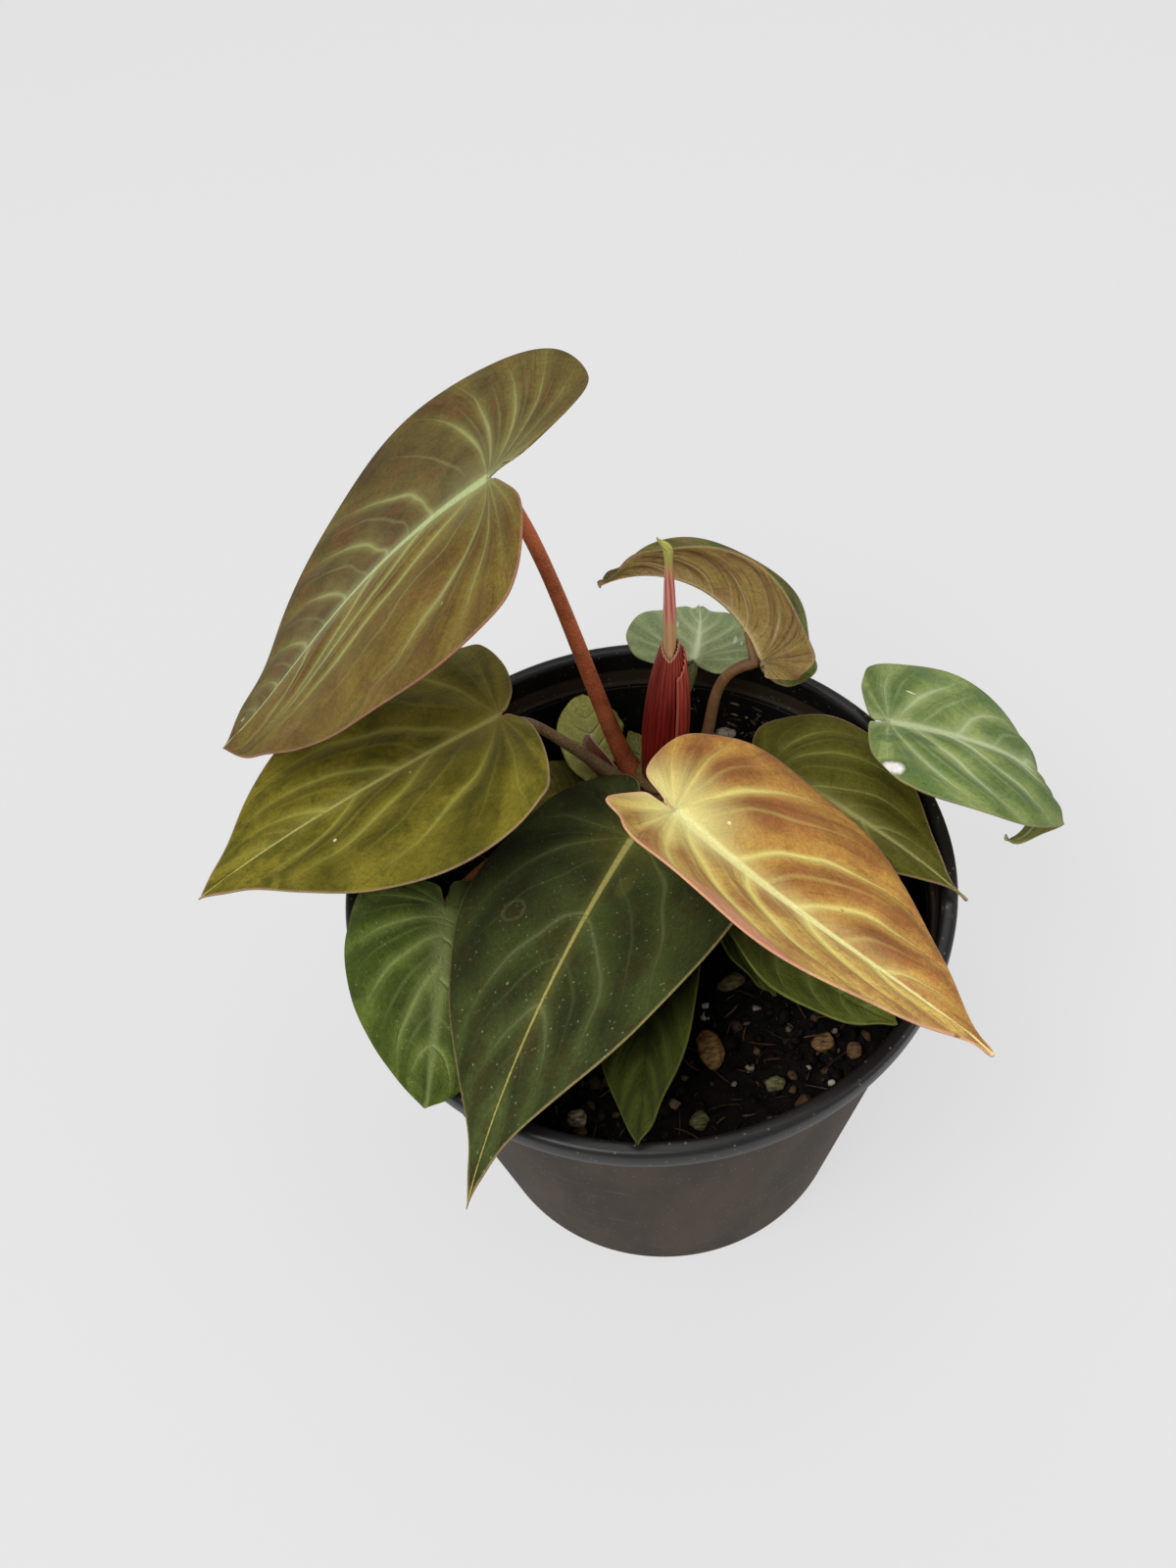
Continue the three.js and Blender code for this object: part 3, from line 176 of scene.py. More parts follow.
# Looks of the blades: colours are sRGB, widths and depths are millimetres. A pair is for the left and the
# right half. base is the colour near a side vein and second the one between two, blush is in soft patches,
# and line_tone is in the streaks along the veins. glow is the light patch round the joint, and side_glow the
# pale band beside the midrib. margins are the strengths of the coloured edge. quilt, wave and scallop are
# how far the blade swells between its veins, and how wavy its surface and its edge are. marks are small
# blemishes: place and half size on the flat blade, colour, strength, and ring for a round outline.
PLAIN_LOOK = dict(
    vein_width=0.4, soft_rib=0.25, rib_taper=1.4, side_glow=0.25, glow_base=0.3, halo=0.6, stripe=0.75,
    lines=0.4, margin_width=(0.3, 0.3), margins=(0.4, 0.4), wave=0.4, scallop=0, speckle=0, marks=())
LOOKS = {
    "leaf_tall": dict(
        base=("78662c", "6c6030"), second=("5c4822", "4c3e22"), blush="6c4c2a", line_tone="42351a",
        vein="a9ac6c", vein_width=0.5, midrib="bcc88e", midrib_width=1.9, rib_taper=2.4, glow="b0b878",
        glow_reach=22, margin="b98070", margins=(0.55, 0.1), under="7d6040", quilt=1.0, lines=0.6,
        stripe=0.45, marks=((14, 32.6, 0.5, 0.4, "c9b890", 0.8), (91.7, -3.7, 0.7, 0.5, "d9d0b0", 0.8))),
    "leaf_left": dict(
        # The right half's second colour is lighter as painted light: it makes up for the shade that the
        # half's tilt puts on it
        base="7c7224", second=("565014", "645b17"), blush="41440e", line_tone="3c390c", vein="a8a44c",
        vein_width=0.7, midrib="c0ba68", midrib_width=1.1, rib_taper=1.6, glow="a09236", glow_base=0.6,
        glow_reach=19, margin="b8937a", margin_width=(0.35, 0.35), margins=(0.6, 0.35), under="847748",
        quilt=1.3, stripe=0.6, marks=((49.5, 12, 0.5, 0.3, "e0dcc0", 0.9),
        (25.8, 4.3, 0.3, 0.4, "e0dcc0", 0.7))),
    "leaf_rim": dict(
        base="5c6b2c", second="3f4d1a", blush="36401a", vein="8a9858", vein_width=0.5, midrib="818a55",
        midrib_width=2.6, soft_rib=1.0, glow="4a5a1e", glow_reach=8, margin="5c6b2c", margins=(0.3, 0.3),
        under="7a8a58", quilt=0.9, speckle=0.5),
    "leaf_front": dict(
        base="414a22", second="2b3116", blush="3a3418", vein="687044", vein_width=0.5, midrib="b0a85e",
        midrib_width=0.9, rib_taper=2.2, side_glow=0.1, glow="7a7428", glow_reach=20, margin="b09c6c",
        margins=(0.6, 0.5), under="58603a", quilt=0.9, speckle=0.8,
        marks=((17.8, -25.4, 1.7, 1.7, "6a6c4a", 0.25, "ring"),
        (29.2, -18.8, 3.1, 2.7, "6a6c4a", 0.3, "ring"), (50.4, -9.8, 0.5, 0.4, "8a8a6a", 0.6),
        (16.6, 5.6, 4.5, 2.4, "6e6c2c", 0.3))),
    "leaf_amber": dict(
        base=("bc8f46", "d2b05e"), second=("905f34", "ae8448"), blush="a4663c", line_tone="7c4e28",
        vein="f4ea8c", vein_width=0.8, midrib="f8f2a8", midrib_width=2.3, rib_taper=1.8, glow="fbf49c",
        glow_reach=24, glow_base=0.9, margin="e4ac90", margin_width=(0.3, 0.7), margins=(0.4, 0.55),
        under="c99a66", quilt=1.2, lines=0.8, halo=0.75, marks=((38, -36, 26, 9, "d8967c", 0.6),
        (81.2, -4.1, 0.8, 0.5, "8a5a30", 0.8), (70.3, 1.0, 0.6, 0.4, "9a6a38", 0.7),
        (10.3, 8.6, 0.5, 0.5, "f6efd0", 0.9), (43.6, 9.1, 0.5, 0.4, "9a6030", 0.6),
        (84, 2.6, 0.6, 0.4, "7a4c28", 0.8))),
    "leaf_olive": dict(
        base="56541b", second="4a4812", blush="3c3c10", vein="7f8440", vein_width=0.45, midrib="a09c60",
        midrib_width=1.3, soft_rib=0.7, glow="625c26", glow_reach=8, margin="b8927a", margins=(0.6, 0.4),
        under="77704a", quilt=0.7, lines=0.5, halo=0.35),
    "leaf_right": dict(
        base="8a9858", second="61753c", blush="567048", line_tone="4c6238", vein="c0cc9a", vein_width=0.6,
        midrib="c4cea0", midrib_width=1.7, soft_rib=0.6, glow="9aa870", glow_reach=12, margin="a89c74",
        under="a09c50", quilt=1.2, lines=0.5, halo=0.65, marks=((9.3, 17.1, 1.6, 0.25, "e8ecd8", 1.0),
        (6, -9, 4.5, 3.4, "4c6238", 0.6), (-2, -12, 3.0, 2.4, "4c6238", 0.5),
        (-3.2, -27, 3.0, 3.6, "46522c", 0.7), (-3.2, -27.4, 2.1, 2.7, "f0ece4", 1.0))),
    "leaf_back": dict(
        base="9fac78", second="849466", vein="bcc89c", midrib="eaf0c8", midrib_width=1.0, soft_rib=0.8,
        glow="a8b084", glow_reach=8, margin="9aa07c", under="8a9a70", quilt=0.7,
        marks=((7.6, -10.5, 2.6, 0.5, "d6dcc8", 0.8), (16.6, 6.6, 1.8, 0.5, "d6dcc8", 0.7),
        (5.0, -12.5, 1.4, 0.4, "d6dcc8", 0.7))),
    "leaf_curled": dict(
        base="66702e", second="48541e", vein="8c9050", vein_width=0.3, midrib="a9ad70", midrib_width=0.9,
        glow="7c7c40", glow_reach=8, margin="b08c74", under=("a89254", "ac8e62"),
        under_second=("9a8250", "a47e64"), blush="8e5f4c", under_vein="d4c490", quilt=1.8, wave=1.1,
        scallop=0.055, lines=1.2, line_tone="4c3a26", halo=0.3),
    "leaf_juvenile": dict(
        base="c0c26c", second="acae5c", vein="c0c27c", vein_width=0.3, midrib="c8ca8c", midrib_width=0.5,
        glow="b8ba70", glow_reach=4, margin="a58a5c", margin_width=(0.25, 0.25), margins=(0.5, 0.5),
        under="8a8a54", quilt=0.3, lines=0.2, speckle=0.4),
    "leaf_low_back": dict(
        base="84904c", second="78843e", vein="9ca066", vein_width=0.3, midrib="b0b07c", midrib_width=0.4,
        glow="98a05c", glow_reach=3, margin="a9a07a", margin_width=(0.25, 0.25), under="a0a070", quilt=0.2,
        lines=0.2),
    "leaf_tiny_back": dict(
        base="8c8c4a", second="80803e", vein="a0a068", vein_width=0.3, midrib="b0b07c", midrib_width=0.3,
        glow="98985c", glow_reach=2, margin="a99a6a", margin_width=(0.25, 0.25), under="a0a070", quilt=0.1,
        lines=0.2),
    "leaf_shaded": dict(
        base="88843c", second="6d692e", vein="787440", midrib="6c6630", midrib_width=0.5, glow="5c5828",
        glow_reach=4, margin="6e6236", margin_width=(0.25, 0.25), under="5f6640", quilt=0.3, lines=0.3),
    "leaf_small_front": dict(
        base="3a4014", second="2a300c", vein="4a5020", midrib="2e3412", midrib_width=0.8, soft_rib=1.0,
        glow="3c4418", glow_reach=5, margin="5a5a2c", margins=(0.5, 0.5), under="6f7a4a", quilt=0.6,
        lines=0.8),
    "leaf_small_dark": dict(
        base="78843a", second="66722e", vein="8c9650", midrib="5c6030", midrib_width=0.6, glow="3c4018",
        glow_reach=5, margin="5c5430", margins=(0.5, 0.5), under="6a7044", quilt=0.5),
    "leaf_small_right": dict(
        base="75813a", second="5f6b28", vein="8c9650", vein_width=0.5, midrib="6a7038", midrib_width=0.8,
        soft_rib=0.6, glow="4c5420", glow_reach=6, margin="6a6a3a", margins=(0.5, 0.5), under="6f7a4a",
        quilt=0.7),
}

# Petioles: the colour of each, the one of its darker patches, and how pebbled it is where that isn't 1
STALK_COLOURS = {
    "leaf_tall": ("b8603a", "8e4428"), "leaf_amber": ("b0623a", "8a4428"), "leaf_left": ("7c6a4a", "665436"),
    "leaf_olive": ("6f6a3c", "55512c"), "leaf_curled": ("77583a", "5a4028", 0.3),
    "leaf_rim": ("98601e", "7a4c14"),
}
GREEN_STALK = ("6f7840", "59622f")
# How far a petiole stays below the middle of its blade, and the shares of the midrib that it runs on between
UNDER_GAP, UNDER_RUN = 0.45, (0.02, 0.16)

# The two sheaths, with the direction that the inner one's mouth faces. The four colours of a sheath are its
# own, the one of its ribs, the one towards its top and the one of its edge.
SHEATH = dict(foot=(7.6, 39.6), top=(11.8, 42), height=48, half=(5.8, 4.6), front=-95)
SHEATH_RIBS = 26
SHEATH_WALL, STUB_WALL = 0.22, 0.2
INNER_COLOURS = "84201a", "4e100c", "a0443a", "c09078"
OUTER_COLOURS = "a2382e", "702018", "b85a4a", "b05a4a"

# The rolled leaf: how far up the sheath it starts, its bend and tip, and its turns
SPIKE = dict(low=0.458, bend=(12.4, 42, 155), tip=(12.3, 43.5, 190), ribs=7)
SPIKE_RADII = ((0, 0.45, 0.6, 0.75, 0.88, 0.93, 0.96, 1), (1.5, 1.6, 1.65, 1.35, 0.95, 1.15, 0.95, 0.12))

# The dry sheath: direction and height of its foot on the stem, its rise and its end
STUB = dict(base=(160, 3.2), rise=8, end=(-12.4, 46.3, 115), colours=("c4765e", "8c503e", "dca08a", "e4c0aa"))

# The pot's wall in section: radius and height at its foot and at its top. The colours change along a line
# just inside the outer wall, in metres: its radius at the ground and its slope.
WALL_OUT, WALL_IN = ((52.5, 1.3), (71.4, 112.9)), ((50.5, 2.6), (68.45, 107.4))
COLOUR_LINE, COLOUR_SLOPE = 0.0518, 0.1694
DRAIN_HOLES, DRAIN_RADIUS, DRAIN_CIRCLE = 8, 3.5, 42

# Coarse bits on the mix: place, half size, turn, colour
CHUNKS = {
    "bark_chunk": ((10, -38.3), (3.2, 5, 2.6), 12, "a07c46"),
    "bark_chip_right": ((37.5, -39.4), (3, 2.2, 1.6), 30, "8f6a40"),
    "bark_chip_edge": ((44.5, -42.5), (2.2, 1.8, 1.4), 70, "7a5c3a"),
    "bark_chip_middle": ((17.5, -20), (3.4, 2, 1.6), 20, "7d6a42"),
    "bark_chip_front": ((24.2, -48.8), (2.4, 1.9, 1.4), 10, "6f7048"),
    "bark_chip_near": ((5, -56), (2.4, 2.2, 1.4), 50, "6a6c44"),
    "perlite_bit_left": ((-24.1, -52), (2.3, 2.2, 1.9), 0, "a89a80"),
    "perlite_bit_back": ((34.8, 50), (1.7, 1.7, 1.4), 15, "8a8a4a"),
}
# The mix's roughness: size and height of its lumps
SOIL_LUMPS = ((7, 2.2), (2.6, 1.6), (1.2, 1.0))
# Loose grains and fibres: how many, how far out they lie, the wall's radius beside them, and a fibre's taper
GRAINS, FIBRES = 900, 420
LOOSE_RADIUS, WALL_RADIUS, FULL_TURN = 64, 67, 6.3
FIBRE_TAPER = np.array((0.4, 0.9, 1, 1, 0.9, 0.3))
# Small pale bits on the mix: place, half size across, paleness
BITS = (
    (10.3, -28, 1.4, 1.7), (10.5, -25, 0.9, 2), (22.8, -27.9, 1.3, 1.4), (-0.3, -50.6, 1.6, 1.2),
    (19, -43.3, 1.3, 1.3), (37.6, -49.7, 1, 1.6), (27.5, 59, 2.6, 2), (20, -31, 0.9, 1.2),
    (30, -34, 0.9, 1.2), (14.5, -47, 0.8, 1.3), (33, -45, 0.8, 1.4), (3, -44, 0.9, 1.1), (41, -36, 0.8, 1.3))
# Dirt and fibres on the wall above the mix: from and to which direction, lowest and highest, how many
WALL_DIRT = ((48, 66, 95, 106, 46), (70, 80, 97, 108, 14), (90, 104, 95, 102, 16), (200, 330, 95, 99, 30))


# Camera
def add_object(name, data):
    made = bpy.data.objects.new(name, data)
    bpy.context.scene.collection.objects.link(made)
    return made


def turned(degrees, axis):
    return Matrix.Rotation(math.radians(degrees), 3, axis)


def make_camera():
    turn = turned(90 - VIEW["elevation"], "X") @ turned(VIEW["roll"], "Z")
    side, lift = (s / VIEW["focal"] for s in VIEW["shift"])
    place = Vector(VIEW["target"]) + turn @ Vector((-side, -lift, 1)) * VIEW["distance"]
    data = bpy.data.cameras.new("camera")
    data.sensor_fit = "VERTICAL"
    data.sensor_height = SENSOR
    data.lens = VIEW["focal"] / PHOTO_HEIGHT * SENSOR
    data.clip_start = 0.01
    data.clip_end = 20
    camera = add_object("camera", data)
    camera.matrix_world = Matrix.Translation(place * MM) @ turn.to_4x4()
    bpy.context.scene.camera = camera


# Small language for shader nodes
def rgb(text):
    """The linear values of a colour written as sRGB hex digits."""
    parts = [int(text[i:i + 2], 16) / 255 for i in (0, 2, 4)]
    linear = [c / 12.92 if c <= 0.04045 else ((c + 0.055) / 1.055) ** 2.4 for c in parts]
    return (*linear, 1.0)


class Number:
    """A number in a material. Sums and products of such numbers become math nodes."""

    def __init__(self, shader, socket):
        self.shader = shader
        self.socket = socket

    def __add__(self, other):
        return self.shader.math("ADD", self, other)

    def __mul__(self, other):
        return self.shader.math("MULTIPLY", self, other)

    def __sub__(self, other):
        return self.shader.math("SUBTRACT", self, other)

    def __rsub__(self, other):
        return self.shader.math("SUBTRACT", other, self)

    def __truediv__(self, other):
        return self.shader.math("DIVIDE", self, other)

    def clamped(self):
        self.socket.node.use_clamp = True
        return self


class Shader:
    """A material whose node links are written as plain calls."""

    def __init__(self, name):
        self.material = bpy.data.materials.new(name)
        self.material.use_nodes = True
        self.tree = self.material.node_tree
        self.surface = self.tree.nodes["Principled BSDF"]

    def node(self, kind, inputs, **settings):
        made = self.tree.nodes.new("ShaderNode" + kind)
        for key, value in settings.items():
            setattr(made, key, value)
        for socket, value in inputs.items():
            self.put(made.inputs[socket], value)
        return made

    def put(self, socket, value):
        if isinstance(value, Number):
            value = value.socket
        if isinstance(value, str):
            value = rgb(value)
        if isinstance(value, bpy.types.NodeSocket):
            self.tree.links.new(value, socket)
        else:
            socket.default_value = value

    def math(self, operation, a, b=0.0):
        return Number(self, self.node("Math", {0: a, 1: b}, operation=operation).outputs[0])

    def mix(self, share, a, b, mode="MIX"):
        return self.node("Mix", {0: share, 6: a, 7: b}, data_type="RGBA", blend_type=mode).outputs[2]

    def step(self, value, low, high):
        """0 below low and 1 above high, smooth between them; low may be the larger one."""
        made = self.node("MapRange", {0: value, 1: low, 2: high}, interpolation_type="SMOOTHSTEP")
        return Number(self, made.outputs[0])

    def noise(self, place, scale, detail=3.0, rough=0.5, bend=0.0):
        inputs = {"Vector": place, "Scale": scale, "Detail": detail, "Roughness": rough, "Distortion": bend}
        return Number(self, self.node("TexNoise", inputs).outputs[0])

    def cells(self, place, scale, feature="F1"):
        made = self.node("TexVoronoi", {"Vector": place, "Scale": scale}, feature=feature)
        return Number(self, made.outputs["Distance"])

    def attribute(self, name):
        return self.node("Attribute", {}, attribute_name=name).outputs["Vector"]

    def number(self, name):
        return Number(self, self.node("Attribute", {}, attribute_name=name).outputs["Fac"])

    def parts(self, vector):
        return [Number(self, part) for part in self.node("SeparateXYZ", {0: vector}).outputs[:3]]

    def vector(self, x, y, z=0.0):
        return self.node("CombineXYZ", {0: x, 1: y, 2: z}).outputs[0]

    def moved(self, vector, way):
        return self.node("VectorMath", {0: vector, 1: way}, operation="ADD").outputs[0]

    def stretched(self, vector, scale):
        return self.node("VectorMath", {0: vector, 1: scale}, operation="MULTIPLY").outputs[0]

    def length(self, vector):
        return Number(self, self.node("VectorMath", {0: vector}, operation="LENGTH").outputs["Value"])

    def place(self):
        return self.node("TexCoord", {}).outputs["Object"]

    def finish(self, colour, roughness, shine, height=None, depth=0.0, **sockets):
        """The finished material. A height of 1 stands out by depth, in millimetres."""
        sockets.update(Base_Color=colour, Roughness=roughness, Specular_IOR_Level=shine)
        for name, value in sockets.items():
            self.put(self.surface.inputs[name.replace("_", " ")], value)
        if height is not None:
            bump = self.node("Bump", {"Height": height, "Distance": depth * MM, "Strength": 1.0})
            self.put(self.surface.inputs["Normal"], bump.outputs[0])
        return self.material


# Meshes
def make_piece(name, node, points, faces, materials, attributes=None, indices=None, extra=False):
    """A mesh object from millimetre points on the plant's one body. An extra piece replaces no node."""
    data = bpy.data.meshes.new(name)
    points = np.asarray(points, dtype=np.float32) * MM
    data.from_pydata(points, [], faces.tolist() if isinstance(faces, np.ndarray) else faces)
    for key, values in (attributes or {}).items():
        values = np.asarray(values, dtype=np.float32)
        kind, field = ("FLOAT", "value") if values.ndim == 1 else ("FLOAT_VECTOR", "vector")
        data.attributes.new(key, kind, "POINT").data.foreach_set(field, values.ravel())
    for material in materials:
        data.materials.append(material)
    if indices is not None:
        data.polygons.foreach_set("material_index", np.asarray(indices, dtype=np.int32))
    data.polygons.foreach_set("use_smooth", np.full(len(data.polygons), True))
    data.update()
    piece = add_object(name, data)
    replaced = () if extra else (node,)
    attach(piece, "root")
    if replaced:
        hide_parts(*replaced)
    return piece


def unit(vectors):
    return vectors / np.linalg.norm(vectors, axis=-1, keepdims=True)


def vertex_normals(points, triangles):
    corners = points[triangles]
    normal = np.cross(corners[:, 1] - corners[:, 0], corners[:, 2] - corners[:, 0])
    total = np.zeros_like(points)
    for k in range(3):
        np.add.at(total, triangles[:, k], normal)
    return total / np.maximum(np.linalg.norm(total, axis=1, keepdims=True), 1e-12)


def thick_sheet(points, triangles, above, below):
    """Both faces of a thin sheet and the strip round its edges: points, faces, and 1 for a lower face."""
    normals = vertex_normals(points, triangles)
    count = len(points)
    both = np.vstack([points + normals * above[:, None], points - normals * below[:, None]])
    edges = np.vstack([triangles[:, [0, 1]], triangles[:, [1, 2]], triangles[:, [2, 0]]])
    keys = edges[:, 0] * count + edges[:, 1]
    back_keys = edges[:, 1] * count + edges[:, 0]
    a, b = edges[~np.isin(keys, back_keys)].T
    strip = np.vstack([np.stack([b, a, a + count], 1), np.stack([b, a + count, b + count], 1)])
    faces = np.vstack([triangles, triangles[:, ::-1] + count, strip])
    lower = np.zeros(len(faces), dtype=np.int32)
    lower[len(triangles):2 * len(triangles)] = 1
    return both, faces, lower


def grid_faces(rows, columns):
    """Quads between rings of points that close on themselves."""
    faces = []
    for i in range(rows - 1):
        for k in range(columns):
            n = (k + 1) % columns
            faces.append([i * columns + k, i * columns + n, (i + 1) * columns + n, (i + 1) * columns + k])
    return faces


def grid_triangles(ids):
    """Two triangles for each cell of a grid of point numbers."""
    a, b, c, d = (part.ravel() for part in (ids[:-1, :-1], ids[1:, :-1], ids[1:, 1:], ids[:-1, 1:]))
    return np.vstack([np.stack([a, b, c], 1), np.stack([a, c, d], 1)])


def tube(path, radii, sides, ripple=None):
    """A closed tube along a path, and for each of its points the share along it and round it."""
    path = np.asarray(path, dtype=float)
    ways = unit(np.gradient(path, axis=0))
    normals = [unit(np.cross(ways[0], (0.3, 0.9, 0.2)))]
    for way in ways[1:]:
        normals.append(unit(normals[-1] - way * np.dot(normals[-1], way)))
    normals = np.array(normals)
    binormals = np.cross(ways, normals)
    turn = np.arange(sides) / sides
    angle = 2 * math.pi * turn
    reach = np.asarray(radii, dtype=float)[:, None] * np.ones((1, sides))
    if ripple is not None:
        reach = reach + ripple(np.linspace(0, 1, len(path))[:, None], angle[None, :])
    out = normals[:, None] * np.cos(angle)[None, :, None] + binormals[:, None] * np.sin(angle)[None, :, None]
    points = (path[:, None] + out * reach[..., None]).reshape(-1, 3)
    ends = len(points)
    ring = np.arange(sides)
    last = ends - sides + ring
    faces = grid_faces(len(path), sides)
    faces += [[ends, b, a] for a, b in zip(ring, np.roll(ring, -1))]
    faces += [[ends + 1, a, b] for a, b in zip(last, np.roll(last, -1))]
    along = np.append(np.repeat(np.linspace(0, 1, len(path)), sides), (0, 1))
    around = np.append(np.tile(turn, len(path)), (0, 0))
    return np.vstack([points, path[0], path[-1]]), faces, along, around


def lathe(profile, segments):
    """Rings of points and their faces from a profile of radii and heights, turned round z."""
    profile = np.asarray(profile, dtype=float)
    angle = 2 * math.pi * np.arange(segments) / segments
    points = np.stack([profile[:, :1] * np.cos(angle), profile[:, :1] * np.sin(angle),
                       profile[:, 1:] + 0 * angle], -1).reshape(-1, 3)
    return points, grid_faces(len(profile), segments)


def quadratic(p0, p1, p2, t):
    return (1 - t) ** 2 * p0 + 2 * t * (1 - t) * p1 + t * t * p2


def cubic(p0, p1, p2, p3, count):
    t = np.linspace(0, 1, count)[:, None]
    return (1 - t) ** 3 * p0 + 3 * t * (1 - t) ** 2 * p1 + 3 * t * t * (1 - t) * p2 + t ** 3 * p3


def smooth(x, low, high):
    s = np.clip((x - low) / (high - low), 0, 1)
    return s * s * (3 - 2 * s)


# Leaf geometry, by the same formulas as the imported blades
def through_points(points, t):
    """A smooth curve through the points, at the shares t of it."""
    last = len(points) - 1
    place = np.clip(t, 0, 1) * last
    i = np.minimum(np.floor(place).astype(int), last - 1)
    r = (place - i)[:, None]
    padded = np.vstack([2 * points[0] - points[1], points, 2 * points[-1] - points[-2]])
    a, b, c, d = (padded[i + k] for k in range(4))
    square, cube = 2 * a - 5 * b + 4 * c - d, 3 * b - a - 3 * c + d
    return 0.5 * (2 * b + (c - a) * r + square * r ** 2 + cube * r ** 3)


def half_outline(leaf, side):
    """The unit half, scaled and shaped to this leaf's length, lobe, shoulder, width and tip."""
    along, across = HALF_LEAF.T
    stretch = (1 - leaf["widest"]) / (1 - along[WIDEST])
    far = (leaf["widest"] + (along - along[WIDEST]) * stretch) * leaf["length"]
    x = np.where(along > 0, far, along * leaf["lobe"][side])
    y = across.copy()
    y[WIDEST + 1:] **= leaf["taper"]
    y[1] *= leaf["sinus"]
    y[2] *= leaf["sinus"] ** 0.6
    shoulder = leaf["shoulder"][side]
    x[WIDEST - 2:WIDEST] += (1 - shoulder) * SHOULDER_SHIFT
    y[WIDEST - 2:WIDEST] *= shoulder
    y[WIDEST] *= (1 + shoulder) / 2
    return np.stack([x, y * leaf["half"][side]], 1)


def turn_matrix(leaf):
    heading, dip, lean = leaf["turn"]
    return np.array(turned(heading, "Z") @ turned(dip, "Y") @ turned(lean, "X"))


def bend_points(leaf, x, y, side):
    """Flat points of one half, bent into place. y is measured from the midrib."""
    length = leaf["length"]
    arch, droop_tip, sway_all, twist_all = (math.radians(a) for a in leaf["bend"])
    back = -1.1 * max(*leaf["lobe"], 1)
    behind = 20
    stations = np.concatenate([np.linspace(back, 0, behind, endpoint=False), np.linspace(0, length, 61)])
    f = stations / length
    droop = arch * f + droop_tip * np.where(f > 0, np.abs(f) ** leaf["tip_power"], 0)
    sway = sway_all * f
    way = np.stack([np.cos(droop) * np.cos(sway), np.cos(droop) * np.sin(sway), -np.sin(droop)], 1)
    steps = (way[1:] + way[:-1]) / 2 * np.diff(stations)[:, None]
    path = np.vstack([np.zeros(3), np.cumsum(steps, 0)])
    path -= path[behind]

    def at(values):
        return np.stack([np.interp(x, stations, values[:, k]) for k in range(3)], 1)

    centre = at(path)
    way = unit(at(way))
    swung = np.interp(x, stations, sway)
    across = np.stack([-np.sin(swung), np.cos(swung), 0 * swung], 1)
    up = np.cross(way, across)
    twist = (twist_all * np.clip(x / length, 0, 1))[:, None]
    across, up = across * np.cos(twist) + up * np.sin(twist), up * np.cos(twist) - across * np.sin(twist)
    start = math.radians(leaf["fold"][side])
    bend = math.radians(leaf["curl"][side]) / leaf["half"][side]
    if abs(bend) < 1e-5:
        bend = 1e-5
    end = start + bend * y
    sideways = (np.sin(end) - math.sin(start)) / bend * (1 if side == 0 else -1)
    lift = (math.cos(start) - np.cos(end)) / bend
    local = centre + across * sideways[:, None] + up * lift[:, None]
    return local @ turn_matrix(leaf).T + np.array(leaf["joint"])


def rib_grid(leaf, side, rows, columns):
    """Flat points of one half on its rib lines, the shares along outline and rib line, and its start."""
    t = np.linspace(0, 1, rows + 1)
    margin = through_points(half_outline(leaf, side), t)
    tip_way = through_points(half_outline(leaf, 0), t)[:, 0] / leaf["length"]
    reach = np.clip((tip_way - VEIN_START) / (1 - VEIN_START), 0, None)
    mx = (leaf["length"] * reach ** VEIN_POWER)[:, None]
    v = np.linspace(0, 1, columns + 1)[None, :]
    bow = (VEIN_BOW * np.minimum(1, reach * 6))[:, None]
    px, py = margin[:, :1], margin[:, 1:]
    x = quadratic(mx, (mx + px) / 2 - bow * py, px, v)
    y = quadratic(0, py / 2 + bow * (px - mx), py, v)
    return x, y, t[:, None] + 0 * v, 0 * t[:, None] + v, mx[:, 0]


def margin_distance(leaf, side, x, y):
    outline = through_points(half_outline(leaf, side), np.linspace(0, 1, 200))
    best = np.full(x.size, 1e9)
    points = np.stack([x.ravel(), y.ravel()], 1)
    for a, b in zip(outline[:-1], outline[1:]):
        run = b - a
        share = np.clip((points - a) @ run / max(run @ run, 1e-9), 0, 1)
        best = np.minimum(best, np.linalg.norm(points - a - share[:, None] * run, axis=1))
    return best.reshape(x.shape)


def vein_phase(t, v, lines):
    """Which side vein passes each point of a half, counted from the sinus, with the fraction between two."""
    phase = np.empty_like(t)
    for k in range(t.shape[1]):
        knots = [line[0] + (line[1] - line[0]) * v[0, k] ** (line[2] if len(line) > 2 else USUAL_CURVE)
                 for line in lines]
        knots = np.maximum.accumulate(np.array(knots) + 1e-3 * np.arange(len(knots)))
        knots = np.concatenate([[-0.6 * knots[0]], knots, [1 + 0.6 * (1.02 - knots[-1])]])
        phase[:, k] = np.interp(t[:, k], knots, np.arange(len(knots)))
    return phase


